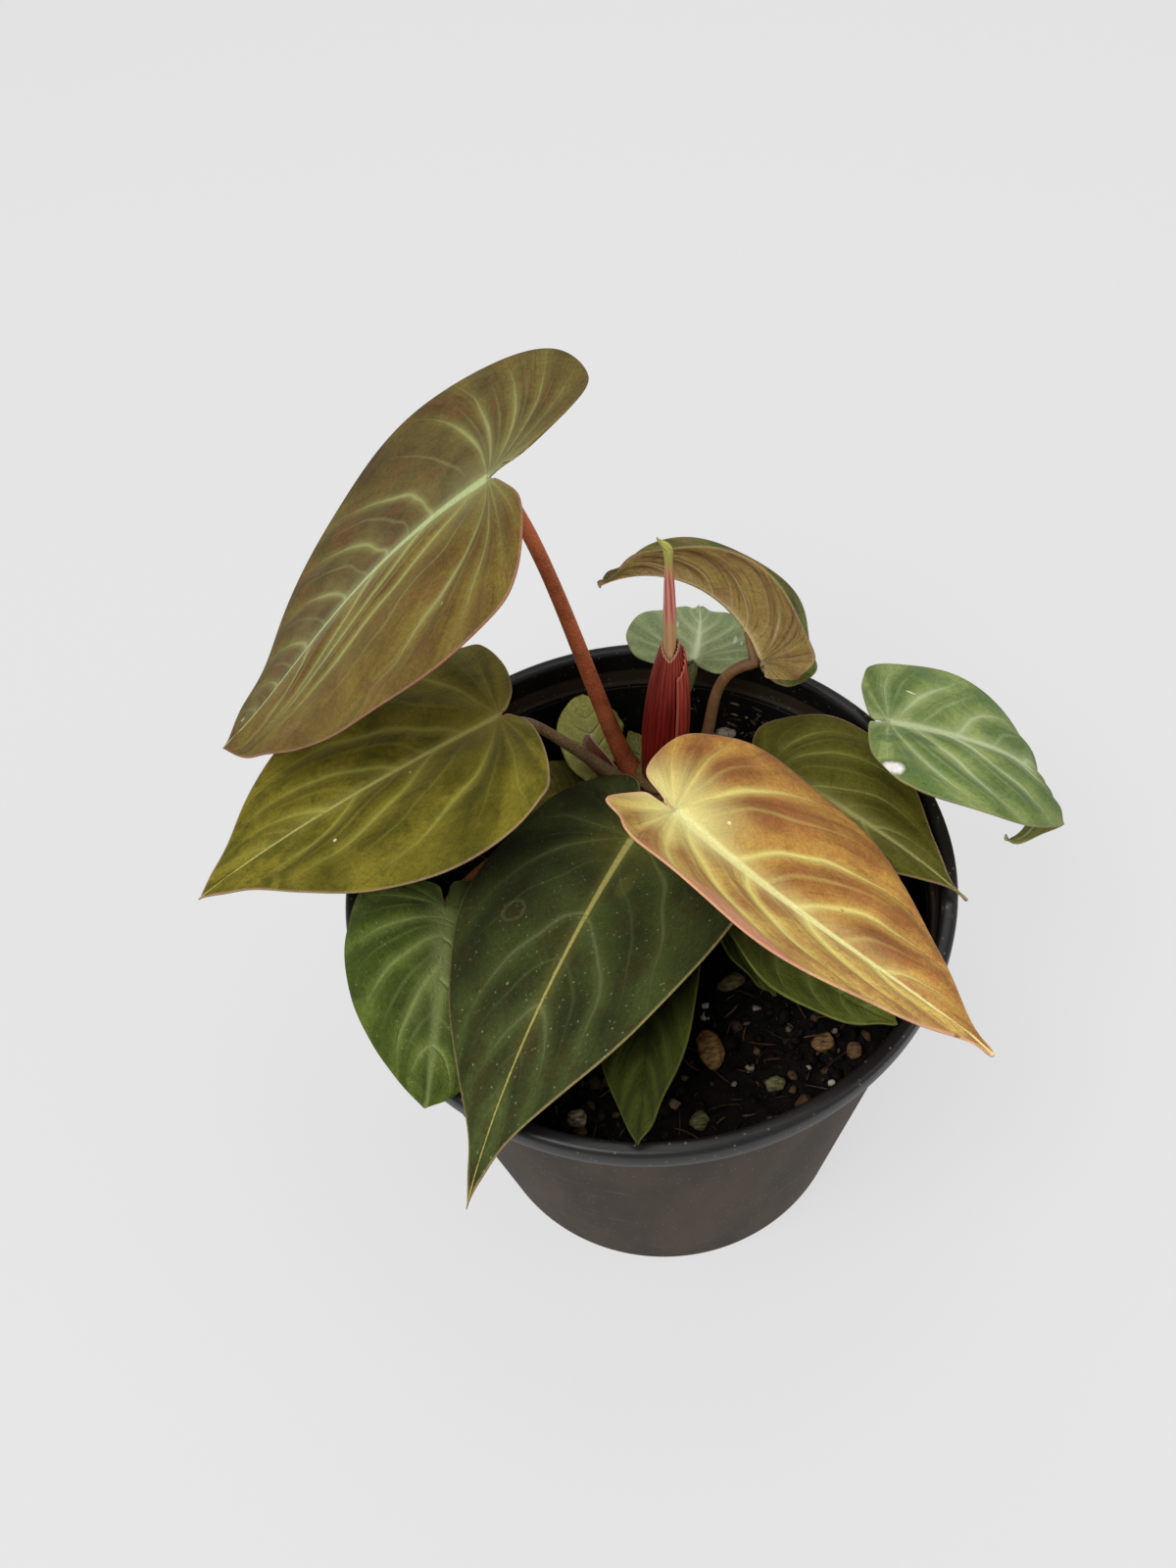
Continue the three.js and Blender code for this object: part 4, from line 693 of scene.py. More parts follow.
def blade_half(leaf, look, lines, side, x, y, t, v):
    """Bent points of one half, their flat places with the distance to the edge, vein values, and swell."""
    phase = vein_phase(t, v, lines)
    edge = margin_distance(leaf, side, x, y)
    dp, dx, dy = np.gradient(phase), np.gradient(x), np.gradient(y)
    area = np.maximum(np.abs(dx[0] * dy[1] - dx[1] * dy[0]), 1e-4)
    gx = (dp[0] * dy[1] - dp[1] * dy[0]) / area
    gy = (dp[1] * dx[0] - dp[0] * dx[1]) / area
    # How many side veins a millimetre passes
    steep = np.clip(np.hypot(gx, gy), 0.01, 3)
    calm = smooth(v, 0.02, 0.3) * smooth(edge, 0, 5) * np.minimum(1, 0.12 / steep)
    wave = np.sin(2 * math.pi * (t * 5.3 + side * 0.4)) * v ** 4
    swell = np.sin(math.pi * phase) ** 2 * calm * look["quilt"] + wave * look["wave"]
    y = y * (1 + look["scallop"] * np.sin(2 * math.pi * (t * 6.1 + side * 0.3)) * v ** 3)
    points = bend_points(leaf, x.ravel(), y.ravel(), side)
    other = np.zeros_like(phase)
    own = (y, phase, other) if side == 0 else (-y, other, phase)
    flat = np.stack([x, own[0], edge], -1).reshape(-1, 3)
    return points, flat, np.stack([*own[1:], steep], -1).reshape(-1, 3), swell.ravel()


def blade_piece(name, leaf, look):
    rows, columns = SMALL_GRID if leaf["small"] else LARGE_GRID
    lines = VEINS.get(name, (PLAIN_VEINS, PLAIN_VEINS))
    grids = [rib_grid(leaf, side, rows, columns) for side in (0, 1)]
    halves = [blade_half(leaf, look, lines[side], side, *grids[side][:4]) for side in (0, 1)]
    points, flats, phases, swells = (np.concatenate(pair) for pair in zip(*halves))

    # The halves share the midrib, and all rib lines that start at the joint share its point
    ids = np.arange(len(points)).reshape(2, rows + 1, columns + 1)
    middle = ids[0, :, 0].copy()
    phases[middle, 1] = phases[ids[1, :, 0], 1]
    ids[1, :, 0] = middle
    ids[:, grids[0][4] <= 0, 0] = middle[0]
    ids[:, 0, :] = middle[0]
    ids[:, rows, :] = middle[rows]
    triangles = np.vstack([grid_triangles(ids[0]), grid_triangles(ids[1])[:, ::-1]])
    a, b, c = triangles.T
    triangles = triangles[(a != b) & (b != c) & (a != c)]
    used, triangles = np.unique(triangles, return_inverse=True)
    triangles = triangles.reshape(-1, 3)
    points, flats, phases, swells = points[used], flats[used], phases[used], swells[used]

    rest = np.clip(1 - flats[:, 0] / leaf["length"], 0, 1)
    rib_width = look["midrib_width"] * (0.35 + 0.65 * rest)
    rib = np.exp(-(flats[:, 1] / rib_width) ** 2) * smooth(flats[:, 0], -1, 2) * smooth(rest, 0, 0.15)
    above = BLADE_THICK / 2 + swells - 0.25 * rib
    below = BLADE_THICK / 2 - swells + RIDGE * 0.8 * rib * rest
    both, faces, lower = thick_sheet(points, triangles, above, below)
    materials = [leaf_shader(name, leaf, look, False), leaf_shader(name, leaf, look, True)]
    values = dict(flat=np.vstack([flats, flats]), vein=np.vstack([phases, phases]))
    make_piece(name + "_skin", name + "_blade", both, faces, materials, values, lower)


def leaf_shader(name, leaf, look, under):
    shader = Shader(name + ("_under" if under else "_upper"))
    step, mix = shader.step, shader.mix
    flat = shader.attribute("flat")
    x, y, edge = shader.parts(flat)
    left, right, steep = shader.parts(shader.attribute("vein"))
    is_left = shader.math("GREATER_THAN", y, 0.0)
    is_right = 1.0 - is_left
    off = shader.math("ABSOLUTE", y)

    def tone(value):
        return value if isinstance(value, str) else mix(is_left, value[1], value[0])

    # Noises: wide patches, velvet grain, and streaks that run along the side veins
    broad = shader.noise(flat, 0.06, 3.0)
    fine = shader.noise(flat, 0.7, 4.0, 0.65)
    tiny = shader.noise(flat, 1.7, 3.0, 0.7)
    phase = left * is_left + right * is_right + (shader.noise(flat, 0.07, 0.0) - 0.5) * 0.2
    streak = shader.noise(shader.vector(phase * 11.0, edge * 0.07, is_left), 1.0, 4.0, 0.6)
    lines = look["lines"]

    # Distance to the nearest side vein, as a share of the space between two and in millimetres
    share = shader.math("PINGPONG", phase, 0.5)
    near = share / steep
    between = (0.5 - share) / steep
    inner = step(edge, 0.0, 0.5 * min(leaf["half"]))
    width = inner * look["vein_width"] + look["vein_width"] * 0.3
    core = step(near / width, 1.5, 0.0) * (inner * 0.75 + 0.15)
    minor = step(between / width, 1.1, 0.0) * inner

    # Ground colour: darker between the veins, with patches, streaks and grain
    base, second = look["base"], look["second"]
    vein, midrib = look["vein"], look["midrib"]
    if under:
        base, second = look["under"], look.get("under_second", look["under"])
        if "under_vein" in look:
            vein = midrib = look["under_vein"]
    stripe = look["stripe"]
    patchy = step(share, 0.06, 0.42) * stripe + 0.3 * (1 - stripe)
    patchy = (patchy + (broad - 0.5) * 2.4).clamped()
    colour = mix(patchy, tone(base), tone(second))
    if "blush" in look:
        flush = shader.noise(shader.stretched(flat, (1, 1.4, 0)), 0.085, 4.0, 0.6, 0.8)
        colour = mix(step(flush, 0.48, 0.66) * 0.6, colour, look["blush"])
    colour = mix(step(streak, 0.45, 0.72) * (lines * 0.5), colour, tone(look.get("line_tone", second)))
    net = step(shader.cells(flat, 0.55, "DISTANCE_TO_EDGE"), 0.09, 0.0)
    grain = (fine - 0.5) * 0.9 + 0.55 + tiny * 0.9 + net * 0.07 - step(streak, 0.55, 0.8) * (lines * 0.25)
    colour = mix(1.0, colour, shader.vector(grain, grain, grain), "MULTIPLY")

    # Veins: a broad soft band, a narrow core, a faint minor vein, the glow round the joint and the midrib
    band = step(near, 3.0 * look["vein_width"] + 0.8, 0.0) * inner
    for strength in (band * (0.45 * look["halo"]), core * 0.6, minor * 0.2):
        colour = mix(strength, colour, vein)
    reach = shader.math("SQRT", x * x + y * y)
    lit = (core * 0.9 + look["glow_base"]).clamped()
    colour = mix(step(reach, look["glow_reach"], 0.0) * lit * 0.85, colour, look["glow"])
    rest = (1.0 - x / leaf["length"]).clamped()
    rib_width = (shader.math("POWER", rest, look["rib_taper"]) + 0.16) * look["midrib_width"]
    soft = look["soft_rib"]
    rib = step((off + (fine - 0.5) * 0.4) / rib_width, 1.0 + soft, 0.7 - 0.6 * soft) * step(x, -1.5, 0.5)
    side_band = step(off, 3.0 * look["midrib_width"] + 0.6, 0.5) * step(rest, 0.05, 0.6)
    for strength in (rib * (0.85 - 0.2 * soft), side_band * look["side_glow"]):
        colour = mix(strength, colour, midrib)

    # Coloured edge, specks and blemishes
    for here, wide, strength in zip((is_left, is_right), look["margin_width"], look["margins"]):
        border = step(edge + fine * 0.5, wide * 1.4 + 0.4, wide * 0.6)
        colour = mix(border * (here * strength), colour, look["margin"])
    if look["speckle"] and not under:
        dots = step(shader.cells(flat, 0.55), 0.2, 0.08) * step(fine, 0.46, 0.58)
        colour = mix(dots * (0.6 * look["speckle"]), colour, "a8aa88")
    for mx, my, across, tall, shade, amount, *ring in () if under else look["marks"]:
        scaled = shader.stretched(shader.moved(flat, (-mx, -my, 0)), (1 / across, 1 / tall, 0))
        far = shader.length(scaled) + (fine - 0.5) * 0.6
        spot = step(shader.math("ABSOLUTE", far - 1.0), 0.28, 0.06) if ring else step(far, 1.25, 0.6)
        colour = mix(spot * amount, colour, shade)

    height = core * -0.6 + fine * 0.4 + tiny * 0.22 - net * 0.12 - streak * (lines * 0.8)
    return shader.finish(colour, 0.6, 0.08, height, 0.6, Sheen_Weight=0.02, Sheen_Roughness=0.4)


# Petioles, each carried on along the midrib under its blade
def stem_seat(direction, height):
    """The place on the stem's flank at a direction in degrees and a height, and the way out of it."""
    around = math.radians(direction)
    slope = (STEM_FOOT - STEM_HEAD) / STEM_HEIGHT
    away = np.array((math.cos(around), math.sin(around), 0))
    outward = unit(away + (0, 0, slope))
    radius = STEM_FOOT - slope * height
    return away * radius + (STEM_X, STEM_Y, SOIL_LEVEL + height) + outward * 0.1, outward


def petiole_piece(name, leaf):
    place, outward = stem_seat(*leaf["base"])
    forward, _, up = turn_matrix(leaf).T
    slant = math.radians(leaf["entry"])
    arrive = up * math.cos(slant) + forward * math.sin(slant)
    leave = unit(outward + np.array((0, 0, leaf["steep"])))
    thick, thin = leaf["stalk"]
    end = np.array(leaf["joint"]) - up * (UNDER_GAP + thin * 1.1)
    via = np.array(leaf["via"]) if "via" in leaf else end - arrive * leaf["reach"]
    route = cubic(place, place + leave * leaf["rise"], via, end, 70)
    along = np.linspace(*UNDER_RUN, 14) * leaf["length"]
    sunk = UNDER_GAP + thin * np.interp(along, along[[0, -1]], (1, 0.3))
    under = bend_points(leaf, along, 0 * along, 0) - up * sunk[:, None]
    corner = cubic(end, end + arrive * thin * 0.25, under[0] - forward * 1.2, under[0], 8)[1:-1]
    path = np.vstack([route, corner, under])
    length = np.concatenate([[0], np.cumsum(np.linalg.norm(np.diff(path, axis=0), axis=1))])
    free, whole = length[len(route) - 1], length[-1]
    even = np.linspace(0, whole, max(int(whole / 0.9), 12))
    path = np.stack([np.interp(even, length, path[:, k]) for k in range(3)], 1)
    share = even / free
    radii = thick + (thin - thick) * np.minimum(1, share * 1.4)
    radii = radii * (1 + 0.35 * np.exp(-share * 14)) * (1 + 0.08 * np.exp(-((share - 0.97) / 0.04) ** 2))
    radii = radii * np.interp(even, [free, whole], [1, 0.3])
    points, faces, _, _ = tube(path, radii, 14 if leaf["small"] else 22)
    material = stalk_shader(name, *STALK_COLOURS.get(name, GREEN_STALK))
    make_piece(name + "_stalk", name + "_petiole", points, faces, [material])


def stalk_shader(name, colour, dark, pebbled=1.0):
    shader = Shader(name + "_petiole_skin")
    place = shader.place()
    coarse = shader.noise(place, 120, 4.0, 0.6)
    spots = shader.step(shader.cells(place, 1500), 0.55, 0.1)
    tone = shader.mix(shader.step(coarse, 0.35, 0.7), colour, dark)
    tone = shader.mix(spots * (0.3 * pebbled), tone, "d8a07a")
    return shader.finish(tone, 0.5, 0.25, spots * (0.7 * pebbled) + coarse * 0.6, 0.2)


# Sheaths, the rolled leaf and the dry stub
def sheath_points(share, angle, outside):
    """Places on a sheath at a share of its height and an angle round it, moved outside by a distance."""
    share = np.asarray(share, dtype=float)
    x, y = (foot + (top - foot) * share for foot, top in zip(SHEATH["foot"], SHEATH["top"]))
    swell = 0.84 + 0.22 * np.sin(math.pi * np.clip(share, 0, 1) * 0.8) - 0.62 * share ** 2.2
    wide, deep = (half * swell + outside for half in SHEATH["half"])
    z = STEM_TOP + 0.4 + SHEATH["height"] * share
    return np.stack([x + wide * np.cos(angle), y + deep * np.sin(angle), z + 0 * x], -1)


def sheath_shader(name, colour, dark, high, edge_colour):
    shader = Shader(name)
    step, mix = shader.step, shader.mix
    share = shader.number("share")
    around = shader.number("around")
    turn = around * (2 * math.pi * SHEATH_RIBS) + shader.noise(shader.place(), 90, 2.0) * 5.0
    ribs = shader.math("SINE", turn)
    streak = shader.noise(shader.vector(around * 90.0, share * 3.0), 1.0, 4.0, 0.6)
    tone = mix(step(share, 0.45, 0.95), colour, high)
    tone = mix(step(streak, 0.4, 0.75), tone, dark)
    tone = mix(step(ribs, 0.55, 1.0) * 0.6, tone, dark)
    tone = mix(step(shader.number("rim"), 0.8, 0.25) * 0.85, tone, edge_colour)
    tone = mix(step(share, 0.2, 0.0) * 0.6, tone, "6a4a28")
    return shader.finish(tone, 0.4, 0.3, streak * -0.6 - ribs * 0.4, 0.3)


def sheet_piece(name, node, points, ids, thickness, colours, **values):
    """A thin sheet on a grid of points, with the values that its material reads."""
    flat = points.reshape(-1, 3)
    wall = np.full(len(flat), thickness)
    both, faces, _ = thick_sheet(flat, grid_triangles(ids), wall, wall)
    for key, value in values.items():
        values[key] = np.tile(np.broadcast_to(value, points.shape[:2]).ravel(), 2)
    make_piece(name, node, both, faces, [sheath_shader(name, *colours)], values)


def sheath_sheet(name, node, angles, top_at, outside, colours):
    rows, columns = 70, 90
    share = np.linspace(0, 1, rows)[:, None]
    turn = np.linspace(0, 1, columns)[None, :]
    whole = angles[1] - angles[0]
    angle = np.radians(angles[0] + whole * turn)
    top = top_at(angle, turn)
    level = top * share
    spin = turn * whole / 360
    ribs = 0.1 * np.sin(spin * 2 * math.pi * SHEATH_RIBS)
    points = sheath_points(level, angle, outside + ribs)
    ids = np.arange(rows * columns).reshape(rows, columns)
    closed = whole >= 360
    if closed:
        ids[:, -1] = ids[:, 0]
    from_side = np.minimum(turn, 1 - turn) * (999 if closed else 12)
    rim = np.minimum((top - level) * SHEATH["height"], from_side)
    sheet_piece(name, node, points, ids.T, SHEATH_WALL, colours, share=level, around=spin, rim=rim)


def inner_top(angle, turn):
    """The mouth's height as a share: a V whose point faces the front."""
    away = angle - math.radians(SHEATH["front"])
    off = np.abs(np.degrees(np.arctan2(np.sin(away), np.cos(away))))
    return 1.0 - 4.2 / SHEATH["height"] * np.clip(1 - off / 75, 0, 1)


def outer_top(angle, turn):
    """The height of the sheet's top as a share of the sheath's."""
    return 0.8 + 6.5 / SHEATH["height"] * np.sin(math.pi * turn ** 1.5)


def spike_piece():
    start = sheath_points(SPIKE["low"], 0.0, 0)
    start[:2] = [foot + (top - foot) * SPIKE["low"] for foot, top in zip(SHEATH["foot"], SHEATH["top"])]
    start[2] += 0.4
    t = np.linspace(0, 1, 140)
    path = quadratic(start, np.array(SPIKE["bend"]), np.array(SPIKE["tip"]), t[:, None])
    path[:, 0] -= 2.4 * smooth(t, 0.93, 1.0) ** 1.5
    points, faces, along, around = tube(path, np.interp(t, *SPIKE_RADII), 32,
                                        lambda a, b: 0.1 * np.sin(b * SPIKE["ribs"] + a * 9) * (1 - a))
    shader = Shader("new_leaf")
    step, mix = shader.step, shader.mix
    high = shader.number("along")
    swept = shader.number("around") * (2 * math.pi * SPIKE["ribs"]) + high * 9.0
    ribs = shader.math("SINE", swept)
    streak = shader.noise(shader.vector(swept * 2.2, high * 5.0), 1.0, 4.0, 0.6)
    tone = mix(step(ribs, -0.6, 0.9), "de948a", "b44c42")
    tone = mix(step(streak, 0.5, 0.75), tone, "e6bcaa")
    tone = mix(step(high, 0.8, 0.92), tone, "b7b45c")
    tone = mix(step(high, 0.66, 0.56) * 0.7, tone, "c9ab74")
    material = shader.finish(tone, 0.38, 0.35, ribs * 0.4 + streak, 0.2)
    make_piece("rolled_leaf", "new_leaf_spike", points, faces, [material], dict(along=along, around=around))


def stub_piece():
    """The dry sheath of an old leaf: a trough, open above, that ends in two prongs."""
    place, outward = stem_seat(*STUB["base"])
    knee = place + unit(outward + np.array((0, 0, 0.9))) * STUB["rise"]
    end = np.array(STUB["end"])
    rows, columns = 50, 36
    turn = np.linspace(-1, 1, columns)[None, :]
    reach = 1.04 - 0.2 * np.exp(-(turn / 0.45) ** 2) - 0.06 * (turn > 0)
    t = np.linspace(0, 1, rows)[:, None] * reach
    t3 = t[..., None]
    way = unit((1 - t3) * (knee - place) + t3 * (end - knee))
    side = unit(np.cross(way, (0, 0, 1.0)))
    above = np.cross(side, way)
    radius = 2.0 + 1.1 * t + 0.1 * np.sin(turn * 14 + t * 3)
    angle = turn * np.radians(180 - 75 * smooth(t, 0.25, 0.9))
    out = side * np.sin(angle)[..., None] - above * np.cos(angle)[..., None]
    points = quadratic(place, knee, end, t3) + out * radius[..., None]
    ids = np.arange(rows * columns).reshape(rows, columns)
    sheet_piece("dry_sheath", "old_leaf_stub", points, ids, STUB_WALL, STUB["colours"],
                share=t, around=turn / 2, rim=np.minimum(1 - np.abs(turn), reach - t) * 9)


# Pot
def arc(centre, radius, start, stop, count=6):
    angles = np.radians(np.linspace(start, stop, count))
    return [(centre[0] + radius * math.cos(a), centre[1] + radius * math.sin(a)) for a in angles]


def on_wall(wall, share):
    return tuple(foot + (top - foot) * share for foot, top in zip(*wall))


def pot_piece():
    foot = [(0.01, 0), (51, 0), *arc((51.3, 1.2), 1.2, -90, -5, 4)]
    body = [on_wall(WALL_OUT, share) for share in np.linspace(0.02, 0.985, 30)]
    lip = [(71.5, 112.9), (72.2, 113.2), *arc((73.6, 114.9), 1.4, -90, 0), *arc((73.4, 118.4), 1.6, 10, 90),
           *arc((72.4, 118.6), 1.4, 92, 175), (70.95, 116), (70.75, 111), (70.6, 109.3),
           *arc((70.2, 109.2), 0.4, -10, -80, 3), (68.9, 108.6), *arc((68.9, 108.2), 0.4, 80, 180, 3)]
    inside = [on_wall(WALL_IN, share) for share in np.linspace(1, 0, 24)]
    points, faces = lathe(foot + body + lip + inside + [(49, 2.6), (0.01, 2.6)], 168)
    pot = make_piece("nursery_pot", "pot", points, faces, [pot_shader()])

    # The drain holes are cut with one mesh of drills
    one, one_faces = lathe([(0.01, -2), (DRAIN_RADIUS, -2), (DRAIN_RADIUS, 6), (0.01, 6)], 24)
    turns = 2 * math.pi * np.arange(DRAIN_HOLES) / DRAIN_HOLES
    drills = [one + DRAIN_CIRCLE * np.array((math.cos(a), math.sin(a), 0)) for a in turns]
    data = bpy.data.meshes.new("drills")
    data.from_pydata(np.vstack(drills) * MM, [],
                     [[i + k * len(one) for i in face] for k in range(DRAIN_HOLES) for face in one_faces])
    drill = add_object("drills", data)
    cut = pot.modifiers.new("drain", "BOOLEAN")
    cut.object = drill
    cut.operation = "DIFFERENCE"
    bpy.context.view_layer.update()
    evaluated = pot.evaluated_get(bpy.context.evaluated_depsgraph_get())
    drilled = bpy.data.meshes.new_from_object(evaluated)
    pot.modifiers.clear()
    pot.data = drilled
    bpy.data.objects.remove(drill)


def pot_shader():
    shader = Shader("pot_plastic")
    step, mix = shader.step, shader.mix
    place = shader.place()
    x, y, z = shader.parts(place)
    radius = shader.math("SQRT", x * x + y * y)
    line = z * COLOUR_SLOPE + COLOUR_LINE
    body = step(radius - line, -0.0012, 0.0) * step(z, 0.1136, 0.1128)
    dust = shader.noise(shader.stretched(place, (1, 1, 0.25)), 60, 4.0, 0.6)
    specks = step(shader.cells(place, 420), 0.16, 0.08)
    scuffs = step(shader.noise(shader.stretched(place, (1, 1, 6)), 45, 5.0, 0.7), 0.62, 0.72)
    dusty = step(dust, 0.3, 0.7)
    colour = mix(body, mix(dusty, "131212", "1f1e1d"), mix(dusty, "32281e", "45382b"))
    colour = mix(specks * 0.25, colour, "a39a8a")
    colour = mix(scuffs * 0.2, colour, "8a8278")
    inner = step(line - radius, 0.001, 0.0022) * step(z, 0.1185, 0.116)
    colour = mix(inner, colour, "0f0e0e")
    return shader.finish(colour, body * 0.4 + 0.36, 0.28, dust + scuffs * 0.5, 0.08)


# Soil
def soil_height(x, y):
    """The mix's surface: low lumps that fade out by the wall, the stem and the coarse bits."""
    edge = smooth(66 - np.hypot(x, y), 0, 10)
    stem = smooth(np.hypot(x - STEM_X, y - STEM_Y), STEM_FOOT, 18)
    calm = 1.0
    for at, size, _, _ in CHUNKS.values():
        calm = np.minimum(calm, smooth(np.hypot(x - at[0], y - at[1]), max(size) + 4, 16))
    lumps = np.sin(x * 0.21 + 1.3) * np.cos(y * 0.17 - 0.4) + 0.6 * np.sin(x * 0.37 - y * 0.31 + 2)
    return SOIL_LEVEL + 0.9 * edge * stem * calm * lumps


def value_noise(x, y, size, generator):
    """Smooth noise between -0.5 and 0.5 on cells of this size."""
    grid = generator.random((200, 200))
    u, w = x / size + 100, y / size + 100
    i, j = np.floor(u).astype(int), np.floor(w).astype(int)
    a, b = smooth(u - i, 0, 1), smooth(w - j, 0, 1)
    low = grid[i, j] * (1 - a) + grid[i + 1, j] * a
    high = grid[i, j + 1] * (1 - a) + grid[i + 1, j + 1] * a
    return low * (1 - b) + high * b - 0.5


def soil_piece(generator):
    rings, sides = 118, 300
    r = SOIL_RADIUS * np.linspace(1, 0.01, rings)[:, None]
    angle = 2 * math.pi * np.arange(sides) / sides
    x, y = r * np.cos(angle), r * np.sin(angle)
    rough = sum(value_noise(x, y, size, generator) * depth for size, depth in SOIL_LUMPS)
    calm = smooth(np.hypot(x - STEM_X, y - STEM_Y), STEM_FOOT, 15)
    z = soil_height(x, y) + rough * (0.3 + 0.7 * calm) * smooth(SOIL_RADIUS - r, -1, 3) - 0.4
    bottom = SOIL_FOOT_RADIUS * np.stack([np.cos(angle), np.sin(angle), 0 * angle], -1) + (0, 0, SOIL_FOOT)
    points = np.vstack([bottom, np.stack([x, y, z], -1).reshape(-1, 3)])
    faces = grid_faces(rings + 1, sides)
    faces.append(list(range(sides))[::-1])
    faces.append(list(range(rings * sides, (rings + 1) * sides)))
    shader = Shader("potting_mix")
    place = shader.place()
    clods = shader.noise(place, 260, 6.0, 0.7)
    bits = shader.step(shader.cells(place, 520), 0.3, 0.1)
    tone = shader.mix(shader.step(clods, 0.4, 0.75), "090706", "1a130d")
    tone = shader.mix(bits * 0.2, tone, "4e3c28")
    material = shader.finish(tone, 0.8, 0.12, clods + bits, 0.8)
    make_piece("potting_mix", "soil", points, faces, [material])


def icosphere(level):
    """A ball of triangles: twenty of them, each cut into four once a level."""
    g = (1 + 5 ** 0.5) / 2
    points = [(-1, g, 0), (1, g, 0), (-1, -g, 0), (1, -g, 0), (0, -1, g), (0, 1, g), (0, -1, -g), (0, 1, -g),
              (g, 0, -1), (g, 0, 1), (-g, 0, -1), (-g, 0, 1)]
    points = [unit(np.array(p)) for p in points]
    faces = [(0, 11, 5), (0, 5, 1), (0, 1, 7), (0, 7, 10), (0, 10, 11), (1, 5, 9), (5, 11, 4), (11, 10, 2),
             (10, 7, 6), (7, 1, 8), (3, 9, 4), (3, 4, 2), (3, 2, 6), (3, 6, 8), (3, 8, 9), (4, 9, 5),
             (2, 4, 11), (6, 2, 10), (8, 6, 7), (9, 8, 1)]
    for _ in range(level):
        middle = {}
        finer = []

        def between(a, b):
            key = (min(a, b), max(a, b))
            if key not in middle:
                points.append(unit(points[a] + points[b]))
                middle[key] = len(points) - 1
            return middle[key]

        for a, b, c in faces:
            ab, bc, ca = between(a, b), between(b, c), between(c, a)
            finer += [(a, ab, ca), (b, bc, ab), (c, ca, bc), (ab, bc, ca)]
        faces = finer
    return np.array(points), np.array(faces)


def crumbs(generator):
    """One mesh: loose grains, fibres and pale bits on the mix, and dirt on the wall above it."""
    ball, ball_faces = icosphere(1)
    points, faces, tints = [], [], []

    def spot(reach):
        while True:
            radius = reach * math.sqrt(generator.random())
            angle = 2 * math.pi * generator.random()
            x, y = radius * math.cos(angle), radius * math.sin(angle)
            if math.hypot(x - STEM_X, y - STEM_Y) > STEM_FOOT + 2:
                return x, y

    def add(shape, shape_faces, tint):
        points.append(shape)
        faces.append(shape_faces)
        tints.append(tint)

    def add_fibre(path, thick, tint):
        shape, quads, _, _ = tube(path, FIBRE_TAPER * thick, 4)
        triangles = [t for q in quads for t in ((q[0], q[1], q[2]), (q[0], q[2], q[-1])) if len(set(t)) == 3]
        add(shape, np.array(triangles), tint)

    s = np.linspace(-0.5, 0.5, len(FIBRE_TAPER))
    for _ in range(GRAINS):
        x, y = spot(LOOSE_RADIUS)
        size = 0.5 + 1.5 * generator.random() ** 3
        knock = 0.75 + 0.5 * generator.random((len(ball), 1))
        shape = ball * knock * (0.7 + 0.8 * generator.random(3)) * size
        spin = np.array(Matrix.Rotation(FULL_TURN * generator.random(), 3, generator.normal(size=3)))
        z = soil_height(x, y) + size * 0.25
        add(shape @ spin.T + np.array((x, y, z)), ball_faces, generator.random() ** 2)
    for _ in range(FIBRES):
        x, y = spot(LOOSE_RADIUS - 1)
        heading = FULL_TURN * generator.random()
        length = 2 + 7 * generator.random() ** 2
        bow = generator.normal() * 0.25
        px = x + length * (s * math.cos(heading) - bow * s * s * math.sin(heading))
        py = y + length * (s * math.sin(heading) + bow * s * s * math.cos(heading))
        inside = np.minimum(1, LOOSE_RADIUS / np.maximum(np.hypot(px, py), 1))
        px, py = px * inside, py * inside
        pz = soil_height(px, py) + 0.5 + 0.9 * generator.random() + s * generator.normal() * 1.2
        thick = 0.12 + 0.22 * generator.random()
        add_fibre(np.stack([px, py, pz], 1), thick, 0.35 + 0.65 * generator.random())
    for x, y, size, pale in BITS:
        shape = ball * (0.7 + 0.6 * generator.random((len(ball), 1))) * (1, 0.9, 0.6) * size
        add(shape + np.array((x, y, soil_height(x, y) + size * 0.45)), ball_faces, pale)
    (low_radius, low_z), (high_radius, high_z) = WALL_IN
    wall_slope = (high_radius - low_radius) / (high_z - low_z)
    for low, high, bottom, top, many in WALL_DIRT:
        for _ in range(many):
            angle = math.radians(low + (high - low) * generator.random())
            level = bottom + (top - bottom) * generator.random() ** 1.5
            lean = generator.normal()
            run = s * (0.8 + 3.4 * generator.random() ** 2)
            spread = angle + run * math.cos(lean) / WALL_RADIUS
            pz = level + run * math.sin(lean)
            thick = 0.15 + 0.3 * generator.random()
            wall = low_radius + wall_slope * (pz - low_z) - thick * 0.6
            path = np.stack([wall * np.cos(spread), wall * np.sin(spread), pz], 1)
            add_fibre(path, thick, 0.7 + 0.7 * generator.random())

    counts = [len(shape) for shape in points]
    starts = np.cumsum(counts) - counts
    all_faces = np.vstack([shape_faces + start for shape_faces, start in zip(faces, starts)])
    shader = Shader("loose_mix")
    tint = shader.number("tint")
    tone = shader.mix(shader.step(tint, 0.3, 1.0), "0c0907", "5a4430")
    tone = shader.mix(shader.step(tint, 1.0, 2.0), tone, "d8d0bc")
    clods = shader.noise(shader.place(), 700, 4.0, 0.6)
    tone = shader.mix(shader.step(clods, 0.4, 0.8), tone, "18120d")
    material = shader.finish(tone, 0.75, 0.12, clods, 0.3)
    values = dict(tint=np.repeat(tints, counts))
    make_piece("loose_mix", "soil", np.vstack(points), all_faces, [material], values, extra=True)


